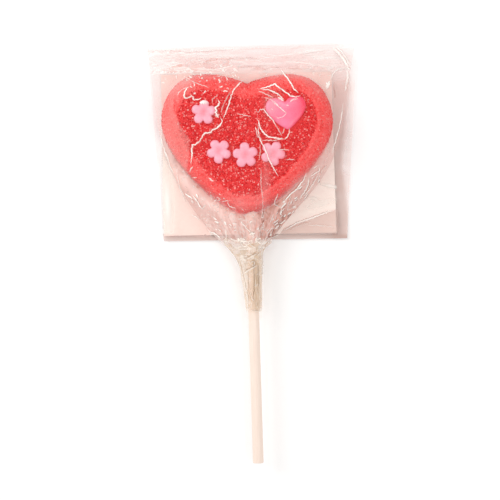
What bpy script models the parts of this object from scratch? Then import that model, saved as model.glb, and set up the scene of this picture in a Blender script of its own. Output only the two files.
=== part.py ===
"""A sugar-coated heart lollipop in its clear film wrapper, lying on its back.

The candy is a moulded jelly heart with a flat back, a rounded shoulder and a slightly crowned
face. Piped icing lies on the face: one deep pink heart and four pale pink blossoms. A paper
stick is set in the candy's tip. A square white card lies behind the candy. The wrapper is
film: a flat back sheet under the card, and a front sheet that is drawn taut over the candy and
gathered round the stick, where the neck holds it.

Frame: +Z up, the shown face up, +Y from the stick towards the heart's lobes. The origin is on
the surface that the lollipop lies on, under the middle of the heart. Units are metres.
"""

import math

import bmesh
import bpy
import numpy as np
from mathutils import Matrix, Vector
from mathutils.bvhtree import BVHTree
from mathutils.geometry import interpolate_bezier

MM = 0.001
GAP = 0.3 * MM  # between pieces that touch

# The candy
HEART_WIDTH = 64.0 * MM
CANDY_THICKNESS = 13.0 * MM
CANDY_BACK_ROUND = 2.2 * MM
CANDY_SIDE_TOP = 4.6 * MM  # above the back face, where the shoulder starts
SHOULDER_WIDTH = 6.4 * MM
FACE_CROWN = 0.9 * MM

# A heart's right half as Bezier anchors, tip first: anchor, handle before it, handle after it,
# in half widths of the heart
CANDY_HEART = (
    ((0.0, -0.856), None, (0.29, -0.856)),
    ((1.0, 0.297), (1.04, -0.18), (0.98, 0.58)),
    ((0.5, 0.806), (0.80, 0.806), (0.33, 0.806)),
    ((0.0, 0.69), (0.15, 0.765), None),
)
ICING_HEART = (
    ((0.0, -0.86), None, (0.14, -0.84)),
    ((1.0, 0.22), (0.93, -0.22), (1.03, 0.52)),
    ((0.52, 0.78), (0.86, 0.80), (0.27, 0.77)),
    ((0.0, 0.50), (0.07, 0.68), None),
)

# The icing
ICING_HEIGHT = 1.3 * MM
ICING_HEART_WIDTH = 15.2 * MM
ICING_HEART_PLACE = (14.6 * MM, 11.0 * MM)
ICING_HEART_TURN = math.radians(6)
PETALS = 5
# Each blossom: name, centre, diameter, turn
BLOSSOMS = (
    ("icing_blossom_lobe", (-16.1 * MM, 11.0 * MM), 9.6 * MM, math.radians(14)),
    ("icing_blossom_left", (-10.4 * MM, -3.4 * MM), 9.4 * MM, math.radians(50)),
    ("icing_blossom_middle", (-0.6 * MM, -4.9 * MM), 9.8 * MM, math.radians(24)),
    ("icing_blossom_right", (9.6 * MM, -4.2 * MM), 9.5 * MM, math.radians(64)),
)

# The stick
STICK_RADIUS = 2.0 * MM
STICK_SET_IN = 24.0 * MM  # how far it goes into the candy
STICK_END_Y = -120.0 * MM
STICK_X_AT_TIP = 1.4 * MM  # it is set a little to the right of the heart's axis
STICK_LEAN = math.radians(1.75)
STICK_SIDES = 28

# The card and the film, whose corners are in mm, anticlockwise from the lower left. The film is
# far thicker here than the real film, which is 0.03 mm
CARD = 0.4 * MM
FILM = 0.4 * MM
CARD_CORNERS = ((-31.4, -34.8), (33.9, -33.6), (31.9, 27.4), (-32.6, 26.2))
BACK_CORNERS = ((-31.5, -36.8), (37.9, -35.6), (41.6, 38.6), (-37.9, 36.4))
SHEET_LIFT = 0.75 * MM  # of a sheet's edge, at the middle of a side
CARD_CORNER_LIFT = 1.2 * MM  # more, of the card's lower right corner
# Where the front sheet's two sides run, from its top edge down to the neck, as (x, y) in mm
FRONT_LEFT = (
    (-37.6, 35.8),
    (-35.9, 22.0),
    (-34.4, 9.0),
    (-31.4, -3.5),
    (-26.4, -15.0),
    (-19.0, -27.5),
    (-8.8, -37.2),
)
FRONT_RIGHT = (
    (40.6, 37.8),
    (38.6, 24.5),
    (36.8, 11.0),
    (34.4, -2.5),
    (28.0, -14.5),
    (16.8, -26.5),
    (8.8, -37.2),
)
FRONT_COLUMNS = 32
FRONT_ROWS = 34
FRONT_CLEARANCE = 0.55 * MM  # of the coarse front sheet over the candy and the icing
RELAX_STEPS = 700

# The neck, where the film is gathered round the stick
NECK_TOP_Y = -37.5 * MM
NECK_END_Y = -67.0 * MM
NECK_STATIONS = 16
NECK_SIDES = 36
NECK_PLEATS = 7
NECK_SNUG = 2.45 * MM  # the film's inner radius at the neck's lower end

# Heights of what lies on what
BACK_Z = 0.0
CARD_Z = BACK_Z + FILM + GAP
CANDY_Z = CARD_Z + CARD + GAP
FRONT_EDGE_Z = CANDY_Z + 0.2 * MM
STICK_Z = CANDY_Z + 6.2 * MM


# The scene, its collections and materials


def clear_scene():
    for obj in list(bpy.data.objects):
        bpy.data.objects.remove(obj, do_unlink=True)


def new_collection(name):
    collection = bpy.data.collections.new(name)
    bpy.context.scene.collection.children.link(collection)
    return collection


def material(name, colour, roughness, alpha=1.0, metallic=0.0):
    mat = bpy.data.materials.new(name)
    mat.use_nodes = True
    shader = mat.node_tree.nodes["Principled BSDF"]
    shader.inputs["Base Color"].default_value = (*colour, 1.0)
    shader.inputs["Roughness"].default_value = roughness
    shader.inputs["Metallic"].default_value = metallic
    shader.inputs["Alpha"].default_value = alpha
    mat.diffuse_color = (*colour, alpha)
    return mat


def add_object(name, bm, collection, mat, smooth_angle=math.radians(40)):
    bmesh.ops.recalc_face_normals(bm, faces=bm.faces)
    mesh = bpy.data.meshes.new(name)
    bm.to_mesh(mesh)
    bm.free()
    mesh.shade_smooth()
    mesh.set_sharp_from_angle(angle=smooth_angle)
    mesh.materials.append(mat)
    obj = bpy.data.objects.new(name, mesh)
    collection.objects.link(obj)
    return obj


# Outlines and stacked sections


def heart_outline(anchors, width, points=(22, 12, 9)):
    """Points of a heart anticlockwise from its tip; points says how many each Bezier stretch has."""
    half = width / 2
    right = []
    for (start, end), count in zip(zip(anchors, anchors[1:]), points):
        ends = [Vector((*p, 0)) * half for p in (start[0], start[2], end[1], end[0])]
        right += interpolate_bezier(*ends, count + 1)[:-1]
    right.append(Vector((*anchors[-1][0], 0)) * half)
    left = [Vector((-p.x, p.y, 0)) for p in reversed(right[1:-1])]
    return right + left


def inset_outline(outline, distance):
    """The outline moved inwards by distance along each point's normal."""
    moved = []
    for i, point in enumerate(outline):
        along = (outline[(i + 1) % len(outline)] - outline[i - 1]).normalized()
        moved.append(point + Vector((-along.y, along.x, 0)) * distance)
    return moved


def scaled_outline(outline, centre, share):
    return [centre + (point - centre) * share for point in outline]


def stack_sections(sections):
    """A closed body from sections, lists of as many points each, extruded from one to the next."""
    bm = bmesh.new()
    bmesh.ops.create_circle(bm, cap_ends=True, segments=len(sections[0]), radius=1.0)
    bm.verts.ensure_lookup_table()
    for vert, point in zip(bm.verts, sections[0]):
        vert.co = point
    base = top = bm.faces[:][0]
    for section in sections[1:]:
        below = top
        made = bmesh.ops.extrude_face_region(bm, geom=[below])["geom"]
        top = next(item for item in made if isinstance(item, bmesh.types.BMFace))
        if below is not base:
            bmesh.ops.delete(bm, geom=[below], context="FACES_ONLY")
        for vert, point in zip(top.verts, section):
            vert.co = point
    bmesh.ops.triangulate(bm, faces=[f for f in bm.faces if len(f.verts) > 4])
    return bm


def at_height(points, z):
    return [Vector((p.x, p.y, z)) for p in points]


# The candy heart


def candy_sections():
    outline = heart_outline(CANDY_HEART, HEART_WIDTH)
    middle = Vector((0, 1.5 * MM, 0))
    back_steps, shoulder_steps = 3, 7
    face_shares = (0.86, 0.66, 0.44, 0.22)
    sections = []
    for i in range(back_steps + 1):
        turn = math.pi / 2 * i / back_steps
        inset = CANDY_BACK_ROUND * (1 - math.sin(turn))
        z = CANDY_BACK_ROUND * (1 - math.cos(turn))
        sections.append(at_height(inset_outline(outline, inset), z))
    rise = CANDY_THICKNESS - FACE_CROWN - CANDY_SIDE_TOP
    for i in range(shoulder_steps + 1):
        turn = math.pi / 2 * i / shoulder_steps
        inset = SHOULDER_WIDTH * (1 - math.cos(turn))
        z = CANDY_SIDE_TOP + rise * math.sin(turn)
        sections.append(at_height(inset_outline(outline, inset), z))
    edge = inset_outline(outline, SHOULDER_WIDTH)
    for share in face_shares:
        z = CANDY_THICKNESS - FACE_CROWN * share**2
        sections.append(at_height(scaled_outline(edge, middle, share), z))
    return sections


def make_candy(parts, cutters, mat):
    """The jelly heart, with the blind hole that the stick sits in."""
    candy = add_object("candy_heart", stack_sections(candy_sections()), parts, mat)
    candy.location.z = CANDY_Z
    cutter = stick_cylinder("stick_hole", STICK_RADIUS + GAP, STICK_SET_IN + GAP, cutters)
    cutter.hide_render = True
    cutter.display_type = "WIRE"
    hole = candy.modifiers.new("stick hole", "BOOLEAN")
    hole.operation = "DIFFERENCE"
    hole.object = cutter
    hole.solver = "EXACT"
    return candy


# The stick


def stick_point(y):
    """The stick's axis at y."""
    tip_y = CANDY_HEART[0][0][1] * HEART_WIDTH / 2
    return Vector((STICK_X_AT_TIP + (tip_y - y) * math.tan(STICK_LEAN), y, STICK_Z))


def stick_cylinder(name, radius, set_in, collection, mat=None, bevel=0.0):
    tip_y = CANDY_HEART[0][0][1] * HEART_WIDTH / 2
    top, end = stick_point(tip_y + set_in), stick_point(STICK_END_Y)
    bm = bmesh.new()
    bmesh.ops.create_cone(
        bm,
        cap_ends=True,
        segments=STICK_SIDES,
        radius1=radius,
        radius2=radius,
        depth=(top - end).length,
    )
    if bevel:
        rims = [e for e in bm.edges if abs(e.verts[0].co.z - e.verts[1].co.z) < 1e-6]
        bmesh.ops.bevel(bm, geom=rims, offset=bevel, segments=1, affect="EDGES")
    mesh = bpy.data.meshes.new(name)
    bm.to_mesh(mesh)
    bm.free()
    mesh.shade_smooth()
    mesh.set_sharp_from_angle(angle=math.radians(40))
    if mat:
        mesh.materials.append(mat)
    obj = bpy.data.objects.new(name, mesh)
    obj.location = (top + end) / 2
    obj.rotation_euler = (top - end).to_track_quat("Z", "Y").to_euler()
    collection.objects.link(obj)
    return obj


# What lies on what: heights read from the pieces that are already there


def surface_tree(objects):
    """A search tree of these objects' evaluated surfaces, in world space."""
    bpy.context.view_layer.update()
    graph = bpy.context.evaluated_depsgraph_get()
    points, polygons = [], []
    for obj in objects:
        mesh = obj.evaluated_get(graph).to_mesh()
        start = len(points)
        points += [obj.matrix_world @ v.co for v in mesh.vertices]
        polygons += [[start + i for i in p.vertices] for p in mesh.polygons]
        obj.evaluated_get(graph).to_mesh_clear()
    return BVHTree.FromPolygons(points, polygons)


def height_above(tree, x, y, otherwise):
    hit = tree.ray_cast(Vector((x, y, 0.1)), Vector((0, 0, -1)))[0]
    return hit.z if hit else otherwise


def lay_on(obj, tree):
    """Lifts each point of a flat-bottomed piece by the height of the surface under it."""
    bpy.context.view_layer.update()
    for vert in obj.data.vertices:
        place = obj.matrix_world @ vert.co
        vert.co.z += height_above(tree, place.x, place.y, CANDY_Z) + GAP


# The icing on the face


def make_icing_heart(parts, mat, face):
    """The deep pink heart, a flooded pillow of icing."""
    outline = heart_outline(ICING_HEART, ICING_HEART_WIDTH, points=(9, 7, 5))
    middle = Vector((0, 0.6 * MM, 0))
    sections = [at_height(outline, 0.0), at_height(outline, ICING_HEIGHT * 0.35)]
    for share, rise in ((0.95, 0.66), (0.84, 0.88), (0.62, 0.98), (0.3, 1.0)):
        sections.append(at_height(scaled_outline(outline, middle, share), ICING_HEIGHT * rise))
    obj = add_object("icing_heart", stack_sections(sections), parts, mat)
    obj.location = (*ICING_HEART_PLACE, 0)
    obj.rotation_euler.z = ICING_HEART_TURN
    lay_on(obj, face)
    return obj


def blossom_section(radius, share, rise):
    """One ring of a blossom: round petals that are deeper and higher than the notches between."""
    points_a_petal = 8
    ring = []
    for i in range(PETALS * points_a_petal):
        angle = 2 * math.pi * i / (PETALS * points_a_petal)
        petal = abs(math.cos(PETALS * angle / 2)) ** 0.55
        reach = radius * share * (0.60 + 0.40 * petal)
        z = ICING_HEIGHT * rise * (0.72 + 0.28 * petal)
        ring.append(Vector((reach * math.cos(angle), reach * math.sin(angle), z)))
    return ring


def make_blossom(name, place, diameter, turn, parts, mat, face):
    """A piped blossom: five drops of icing that run together round a dimple."""
    profile = ((1.0, 0.0), (1.0, 0.4), (0.93, 0.75), (0.72, 1.0), (0.45, 0.86), (0.18, 0.5))
    sections = [blossom_section(diameter / 2, share, rise) for share, rise in profile]
    obj = add_object(name, stack_sections(sections), parts, mat)
    obj.location = (*place, 0)
    obj.rotation_euler.z = turn
    lay_on(obj, face)
    return obj


# The film sheets


def sheet_lift(x, y):
    """How far a sheet's edges and corners curl up off the surface."""
    reach = ((abs(x) / (39 * MM)) ** 8 + (abs(y) / (36.5 * MM)) ** 8) ** 0.125
    return SHEET_LIFT * (max(0.0, reach - 0.8) / 0.2) ** 2


def card_lift(x, y):
    """The card's lower right corner stands further off the back sheet."""
    beyond = x / (34 * MM) - y / (34 * MM) - 1.25
    return CARD_CORNER_LIFT * max(0.0, beyond / 0.75) ** 2


def quad_grid(corners, columns, rows, height):
    """A grid over four corners, in mm, anticlockwise from the lower left, lifted by height(x, y)."""
    bm = bmesh.new()
    bmesh.ops.create_grid(bm, x_segments=columns, y_segments=rows, size=0.5)
    lower_left, lower_right, upper_right, upper_left = (Vector(c) * MM for c in corners)
    for vert in bm.verts:
        u, v = vert.co.x + 0.5, vert.co.y + 0.5
        low = lower_left.lerp(lower_right, u)
        place = low.lerp(upper_left.lerp(upper_right, u), v)
        vert.co = (place.x, place.y, height(place.x, place.y))
    return bm


def thicken(obj, thickness, offset=1.0):
    """Gives an open sheet its thickness; an offset of 1 adds it on the side that faces up."""
    solidify = obj.modifiers.new("film thickness", "SOLIDIFY")
    solidify.thickness = thickness
    solidify.offset = offset


def face_up(bm):
    """Turns an open sheet's faces so that they look up."""
    for face in bm.faces:
        face.normal_update()
        if face.normal.z < 0:
            face.normal_flip()


def add_sheet(name, bm, parts, mat, thickness=FILM):
    face_up(bm)
    mesh = bpy.data.meshes.new(name)
    bm.to_mesh(mesh)
    bm.free()
    mesh.shade_smooth()
    mesh.materials.append(mat)
    obj = bpy.data.objects.new(name, mesh)
    parts.objects.link(obj)
    thicken(obj, thickness)
    return obj


def make_back_sheet(parts, mat):
    bm = quad_grid(BACK_CORNERS, 14, 14, lambda x, y: BACK_Z + sheet_lift(x, y))
    return add_sheet("film_back", bm, parts, mat)


def make_card(parts, mat):
    def height(x, y):
        return CARD_Z + sheet_lift(x, y) + card_lift(x, y)

    return add_sheet("backing_card", quad_grid(CARD_CORNERS, 14, 14, height), parts, mat, CARD)


def side_at(points, share):
    """A point on a smoothed line along points, given in mm, by its share of the way down."""
    places = np.linspace(0, 1, len(points))
    spread = 0.09 * min(1.0, 8 * share, 8 * (1 - share))
    shares = share + spread * np.linspace(-1, 1, 7)
    x, y = (np.interp(shares, places, [p[i] for p in points]).mean() for i in (0, 1))
    return Vector((x, y)) * MM


def neck_arch(x):
    """The height of the front sheet's lower edge, where it runs over the stick into the neck."""
    left, right = FRONT_LEFT[-1][0] * MM, FRONT_RIGHT[-1][0] * MM
    crest = stick_point(NECK_TOP_Y).x
    half = crest - left if x < crest else right - crest
    over = STICK_Z + STICK_RADIUS + 2.0 * MM - FRONT_EDGE_Z
    return FRONT_EDGE_Z + over * max(0.0, 1 - ((x - crest) / half) ** 2) ** 0.7


def drape_front(tree):
    """The front sheet as a taut membrane: relaxed between its edges, and held up by what it covers."""
    columns, rows = FRONT_COLUMNS + 1, FRONT_ROWS + 1
    place = np.zeros((rows, columns, 2))
    for row, down in enumerate(np.linspace(0, 1, rows)):
        ends = side_at(FRONT_LEFT, down), side_at(FRONT_RIGHT, down)
        for column, across in enumerate(np.linspace(0, 1, columns)):
            place[row, column] = ends[0].lerp(ends[1], across)
    cell = 1.1 * MM
    least = np.zeros((rows, columns))
    for row, column in np.ndindex(rows, columns):
        x, y = place[row, column]
        near = [(x + i * cell, y + j * cell) for i in (-1, 0, 1) for j in (-1, 0, 1)]
        least[row, column] = FRONT_CLEARANCE + max(height_above(tree, *p, -1.0) for p in near)
    edge = FRONT_EDGE_Z + np.vectorize(lambda x, y: sheet_lift(x, y) + card_lift(x, y))(
        place[..., 0], place[..., 1]
    )
    z = np.maximum(least, edge)
    held = np.zeros_like(z, dtype=bool)
    held[[0, -1], :] = held[:, [0, -1]] = True
    z[held] = edge[held]
    z[-1] = np.maximum(z[-1], [neck_arch(x) for x in place[-1, :, 0]])
    for _ in range(RELAX_STEPS):
        mean = z.copy()
        mean[1:-1, 1:-1] = (z[:-2, 1:-1] + z[2:, 1:-1] + z[1:-1, :-2] + z[1:-1, 2:]) / 4
        z = np.where(held, z, np.maximum(mean, np.maximum(least, edge)))
    return place, z


def make_front_sheet(parts, mat, covered):
    place, z = drape_front(surface_tree(covered))
    rows, columns = z.shape
    bm = bmesh.new()
    bmesh.ops.create_grid(bm, x_segments=columns - 1, y_segments=rows - 1, size=0.5)
    for vert in bm.verts:
        column = round((vert.co.x + 0.5) * (columns - 1))
        row = round((0.5 - vert.co.y) * (rows - 1))
        vert.co = (*place[row, column], z[row, column])
    return add_sheet("film_front", bm, parts, mat)


# The gathered neck


def neck_ring(share):
    """The film's inner surface round the stick, at a share of the way down the neck."""
    y = NECK_TOP_Y + (NECK_END_Y - NECK_TOP_Y) * share
    axis = stick_point(y)
    left = NECK_SNUG + (2.6 * (1 - share) ** 1.2 + 4.4 * math.exp(-((share / 0.16) ** 1.5))) * MM
    right = NECK_SNUG + (1.1 * (1 - share) ** 0.5 + 3.0 * math.exp(-((share / 0.06) ** 1.3))) * MM
    up = NECK_SNUG + 1.3 * MM * math.exp(-share / 0.30)
    down = NECK_SNUG + 2.6 * MM * math.exp(-share / 0.15)
    depth = 0.10 * (1 - share) + 0.05
    ring = []
    for i in range(NECK_SIDES):
        angle = 2 * math.pi * i / NECK_SIDES
        pleat = 1 + depth * (0.5 + 0.5 * math.cos(NECK_PLEATS * angle + 2.5 * share))
        x = math.cos(angle) * (right if math.cos(angle) > 0 else left)
        z = math.sin(angle) * (up if math.sin(angle) > 0 else down)
        ring.append(axis + Vector((x * pleat, 0, z * pleat)))
    return ring


def make_neck(parts, mat):
    bm = bmesh.new()
    rings = []
    for station in range(NECK_STATIONS + 1):
        share = (station / NECK_STATIONS) ** 1.4
        verts = [bm.verts.new(point) for point in neck_ring(share)]
        rings.append([bm.edges.new(pair) for pair in zip(verts, verts[1:] + verts[:1])])
    for upper, lower in zip(rings, rings[1:]):
        bmesh.ops.bridge_loops(bm, edges=upper + lower)
    obj = add_object("film_neck", bm, parts, mat)
    thicken(obj, FILM)
    return obj


def main():
    clear_scene()
    parts = new_collection("heart_lollipop")
    cutters = new_collection("cutters")
    sugar_red = material("sugared_red", (0.78, 0.045, 0.045), 0.55)
    deep_pink = material("deep_pink_icing", (0.95, 0.22, 0.38), 0.3)
    pale_pink = material("pale_pink_icing", (0.95, 0.50, 0.62), 0.35)
    paper = material("stick_paper", (0.93, 0.83, 0.74), 0.7)
    card = material("white_card", (0.95, 0.87, 0.83), 0.5)
    film = material("clear_film", (0.96, 0.90, 0.88), 0.15, alpha=0.3)

    candy = make_candy(parts, cutters, sugar_red)
    stick = stick_cylinder("stick", STICK_RADIUS, STICK_SET_IN, parts, paper, bevel=0.25 * MM)
    face = surface_tree([candy])
    icing = [make_icing_heart(parts, deep_pink, face)]
    for name, place, diameter, turn in BLOSSOMS:
        icing.append(make_blossom(name, place, diameter, turn, parts, pale_pink, face))
    make_back_sheet(parts, film)
    make_card(parts, card)
    make_front_sheet(parts, film, [candy, stick, *icing])
    make_neck(parts, film)


main()
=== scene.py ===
import math

import bpy
import numpy as np
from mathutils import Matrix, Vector
from mathutils.bvhtree import BVHTree
from mathutils.kdtree import KDTree


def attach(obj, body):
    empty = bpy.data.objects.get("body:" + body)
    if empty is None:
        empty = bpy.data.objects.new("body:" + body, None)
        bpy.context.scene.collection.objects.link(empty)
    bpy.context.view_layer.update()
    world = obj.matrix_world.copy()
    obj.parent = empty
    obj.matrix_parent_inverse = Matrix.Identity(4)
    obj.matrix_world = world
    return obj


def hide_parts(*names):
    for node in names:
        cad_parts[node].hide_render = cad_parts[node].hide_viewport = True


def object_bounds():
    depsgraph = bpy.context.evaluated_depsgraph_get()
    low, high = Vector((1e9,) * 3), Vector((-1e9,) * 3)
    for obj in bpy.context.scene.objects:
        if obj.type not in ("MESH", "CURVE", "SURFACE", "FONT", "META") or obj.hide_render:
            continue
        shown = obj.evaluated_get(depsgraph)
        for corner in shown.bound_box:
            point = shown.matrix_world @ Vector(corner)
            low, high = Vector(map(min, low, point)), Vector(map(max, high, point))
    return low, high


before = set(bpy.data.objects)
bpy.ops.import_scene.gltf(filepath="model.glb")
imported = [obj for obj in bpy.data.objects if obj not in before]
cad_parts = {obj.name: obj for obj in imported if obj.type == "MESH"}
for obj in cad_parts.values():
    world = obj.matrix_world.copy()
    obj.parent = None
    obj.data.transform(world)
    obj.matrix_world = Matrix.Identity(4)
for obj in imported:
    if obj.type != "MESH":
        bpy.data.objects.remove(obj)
cad_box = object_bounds()


# The photographer's table: a white sheet lit from a large soft window on the left, and a camera
# that looks straight down. A few small lamps add glints along the film's creases, but most of
# the creases' white is painted highlight.

AIMED_AT = Vector((0.0, -0.03, 0.0))


def new_object(name, data):
    obj = bpy.data.objects.new(name, data)
    bpy.context.scene.collection.objects.link(obj)
    return obj


def place_light(name, place, side, watts, colour=(1.0, 1.0, 1.0)):
    """A square lamp turned to the lollipop, its place and side in metres."""
    lamp = bpy.data.lights.new(name, "AREA")
    lamp.shape = "SQUARE"
    lamp.size = side
    lamp.energy = watts
    lamp.color = colour
    obj = new_object(name, lamp)
    obj.location = place
    obj.rotation_euler = (Vector(place) - AIMED_AT).to_track_quat("Z", "Y").to_euler()


place_light("window_left", (-0.60, 0.30, 0.50), 0.45, 2.6, (1.0, 0.99, 0.98))
place_light("fill_right", (0.60, -0.25, 0.75), 0.60, 1.1, (1.0, 0.98, 0.96))
place_light("glint_top", (0.07, 0.22, 0.70), 0.03, 0.3)
place_light("glint_left", (-0.20, 0.05, 0.65), 0.03, 0.3)
place_light("glint_right", (0.22, -0.10, 0.65), 0.03, 0.25)

world = bpy.data.worlds.new("soft_room")
world.use_nodes = True
sky = world.node_tree.nodes["Background"]
sky.inputs["Color"].default_value = (1.0, 0.985, 0.975, 1.0)
sky.inputs["Strength"].default_value = 0.70
bpy.context.scene.world = world
bpy.context.scene.view_settings.view_transform = "Standard"

# The frame's side is what the picture shows at the height of the candy's middle, in metres.
CAMERA_OVER = (0.0011, -0.0401)
CAMERA_HEIGHT = 0.70
SENSOR_SIDE = 36.0
FRAME_SIDE = 0.1875
CANDY_MIDDLE_Z = 0.008
eye = bpy.data.cameras.new("overhead_camera")
eye.sensor_width = SENSOR_SIDE
eye.lens = SENSOR_SIDE * (CAMERA_HEIGHT - CANDY_MIDDLE_Z) / FRAME_SIDE
camera = new_object("overhead_camera", eye)
camera.location = (*CAMERA_OVER, CAMERA_HEIGHT)
bpy.context.scene.camera = camera


def node_material(name, roughness):
    """A Principled material, its node tree and its shader."""
    mat = bpy.data.materials.new(name)
    mat.use_nodes = True
    tree = mat.node_tree
    shader = tree.nodes["Principled BSDF"]
    shader.inputs["Roughness"].default_value = roughness
    return mat, tree, shader


def fine_grain_group():
    """A node group of cloudy grain over Object coordinates, its scale in waves a metre."""
    group = bpy.data.node_groups.new("fine_grain", "ShaderNodeTree")
    group.interface.new_socket(name="Fac", in_out="OUTPUT", socket_type="NodeSocketFloat")
    coords = group.nodes.new("ShaderNodeTexCoord")
    noise = group.nodes.new("ShaderNodeTexNoise")
    given, out = group.nodes.new("NodeGroupInput"), group.nodes.new("NodeGroupOutput")
    for name in ("Scale", "Detail", "Roughness"):
        group.interface.new_socket(name=name, in_out="INPUT", socket_type="NodeSocketFloat")
        group.links.new(given.outputs[name], noise.inputs[name])
    group.links.new(coords.outputs["Object"], noise.inputs["Vector"])
    group.links.new(noise.outputs["Fac"], out.inputs["Fac"])
    return group


fine_grain = fine_grain_group()


def grain_node(tree, scale, detail=4.0, roughness=0.55):
    """The fine_grain group placed in a material, with its own values."""
    node = tree.nodes.new("ShaderNodeGroup")
    node.node_tree = fine_grain
    node.inputs["Scale"].default_value = scale
    node.inputs["Detail"].default_value = detail
    node.inputs["Roughness"].default_value = roughness
    return node


def ramp_node(tree, source, stops):
    """A colour ramp fed by source; each stop is a place and a colour."""
    ramp = tree.nodes.new("ShaderNodeValToRGB")
    while len(ramp.color_ramp.elements) < len(stops):
        ramp.color_ramp.elements.new(0.5)
    for element, (place, colour) in zip(ramp.color_ramp.elements, stops):
        element.position = place
        element.color = (*colour, 1.0)
    tree.links.new(source, ramp.inputs["Fac"])
    return ramp


TABLE_SIDE = 6.0
bpy.ops.object.select_all(action="DESELECT")
bpy.ops.mesh.primitive_plane_add(size=TABLE_SIDE, location=(0, 0, -0.0001))
table = bpy.context.object
table.name = "white_table"
table_white, tree, shader = node_material("table_white", 0.9)
shader.inputs["Specular IOR Level"].default_value = 0.1
tones = ramp_node(
    tree,
    grain_node(tree, 4.0).outputs["Fac"],
    ((0.3, (0.98, 0.98, 0.98)), (0.7, (0.99, 0.99, 0.99))),
)
tree.links.new(tones.outputs["Color"], shader.inputs["Base Color"])
table.data.materials.append(table_white)


# The candy: a heart of red jelly, cast in a mould round the end of the stick. The mould leaves a
# groove round the raised middle of the face, and faint steps outside it.

MM = 0.001


def select_only(obj):
    """Leaves obj alone selected and active, so that operators act on it."""
    bpy.ops.object.select_all(action="DESELECT")
    obj.select_set(True)
    bpy.context.view_layer.objects.active = obj


def apply_modifiers(obj):
    select_only(obj)
    for modifier in list(obj.modifiers):
        bpy.ops.object.modifier_apply(modifier=modifier.name)


def merge_points(obj, within):
    """Joins a piece's points that lie within this many metres of each other."""
    select_only(obj)
    bpy.ops.object.mode_set(mode="EDIT")
    bpy.ops.mesh.select_all(action="SELECT")
    bpy.ops.mesh.remove_doubles(threshold=within)
    bpy.ops.object.mode_set(mode="OBJECT")


def merged_copy(node, name):
    """A new piece with a CAD node's shape, its loose triangles merged into one skin."""
    piece = new_object(name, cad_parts[node].data.copy())
    piece.data.materials.clear()
    merge_points(piece, 1e-6)
    bpy.ops.mesh.customdata_custom_splitnormals_clear()
    return piece


def even_skin(piece, voxel, smoothing):
    """Remeshes a piece to even small faces and smooths the facets away."""
    remesh = piece.modifiers.new("even faces", "REMESH")
    remesh.mode = "VOXEL"
    remesh.voxel_size = voxel
    smooth = piece.modifiers.new("smooth facets", "SMOOTH")
    smooth.factor = 0.5
    smooth.iterations = smoothing


def cloud_displace(piece, name, size, strength):
    """Swells and sinks a piece's surface in soft lumps of this size, in metres."""
    cloud = bpy.data.textures.new(name, "CLOUDS")
    cloud.noise_scale = size
    cloud.noise_depth = 2
    swell = piece.modifiers.new(name, "DISPLACE")
    swell.texture = cloud
    swell.texture_coords = "LOCAL"
    swell.strength = strength
    swell.mid_level = 0.5


candy = merged_copy("candy_heart", "candy_jelly")
even_skin(candy, voxel=0.45 * MM, smoothing=8)
apply_modifiers(candy)


def inset_from_side(points, side_points):
    """How far in from the candy's widest outline each point lies, seen from above, in mm."""
    tree = KDTree(len(side_points))
    for i, point in enumerate(side_points):
        tree.insert((point[0], point[1], 0), i)
    tree.balance()
    return np.array([tree.find((x, y, 0))[2] for x, y, _ in points]) / MM


def mesh_points(obj):
    """The places of a piece's points, one row each."""
    flat = np.zeros(len(obj.data.vertices) * 3, np.float32)
    obj.data.vertices.foreach_get("co", flat)
    return flat.reshape(-1, 3).astype(float)


def store(obj, name, values):
    """Keeps a number from 0 to 1 for each of a piece's points, for its material to read."""
    layer = obj.data.attributes.new(name, "FLOAT", "POINT")
    layer.data.foreach_set("value", np.clip(values, 0, 1).astype(np.float32))


# The candy's height where it is widest, the mouth of the stick's hole, and the insets from the
# outline at which the face is stepped and grooved, these last in mm.
WIDEST_Z = 4.6 * MM
HOLE_X, HOLE_REACH, HOLE_Y = 1.0 * MM, 3.4 * MM, -25.5 * MM
STEP_RISE, STEP_WAVE, STEP_INSET, STEP_SPREAD = 0.20, 2.2, 3.6, 2.2
GROOVE_DEPTH, GROOVE_INSET, GROOVE_SPREAD = 0.34, 6.6, 0.55

body = mesh_points(candy)
low = body[:, 2].min()
in_stick_hole = (np.abs(body[:, 0] - HOLE_X) < HOLE_REACH) & (body[:, 1] > HOLE_Y)
in_stick_hole &= body[:, 1] < 0
side = body[(np.abs(body[:, 2] - low - WIDEST_Z) < 0.3 * MM) & ~in_stick_hole]
inset = inset_from_side(body, side)
upper = body[:, 2] > low + WIDEST_Z + 0.5 * MM
stepped = np.exp(-(((inset - STEP_INSET) / STEP_SPREAD) ** 2))
steps = STEP_RISE * np.sin(inset * 2 * math.pi / STEP_WAVE) * stepped
groove = -GROOVE_DEPTH * np.exp(-(((inset - GROOVE_INSET) / GROOVE_SPREAD) ** 2))
body[:, 2] += np.where(upper, steps + groove, 0) * MM
candy.data.vertices.foreach_set("co", body.astype(np.float32).ravel())
store(candy, "pad", (inset - GROOVE_INSET + 1.0) / 2.0)
cloud_displace(candy, "sugar_lumps", size=1.3 * MM, strength=0.28 * MM)
apply_modifiers(candy)
bpy.ops.object.shade_smooth()


def attribute_output(tree, name):
    """The number that a piece's points hold under this name."""
    node = tree.nodes.new("ShaderNodeAttribute")
    node.attribute_name = name
    return node.outputs["Fac"]


def mix_output(tree, factor, first, second):
    """The colour first, turned into second by a factor; second is an output or a colour."""
    mix = tree.nodes.new("ShaderNodeMix")
    mix.data_type = "RGBA"
    tree.links.new(factor, mix.inputs["Factor"])
    tree.links.new(first, mix.inputs["A"])
    if isinstance(second, tuple):
        mix.inputs["B"].default_value = (*second, 1.0)
    else:
        tree.links.new(second, mix.inputs["B"])
    return mix.outputs["Result"]


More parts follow.
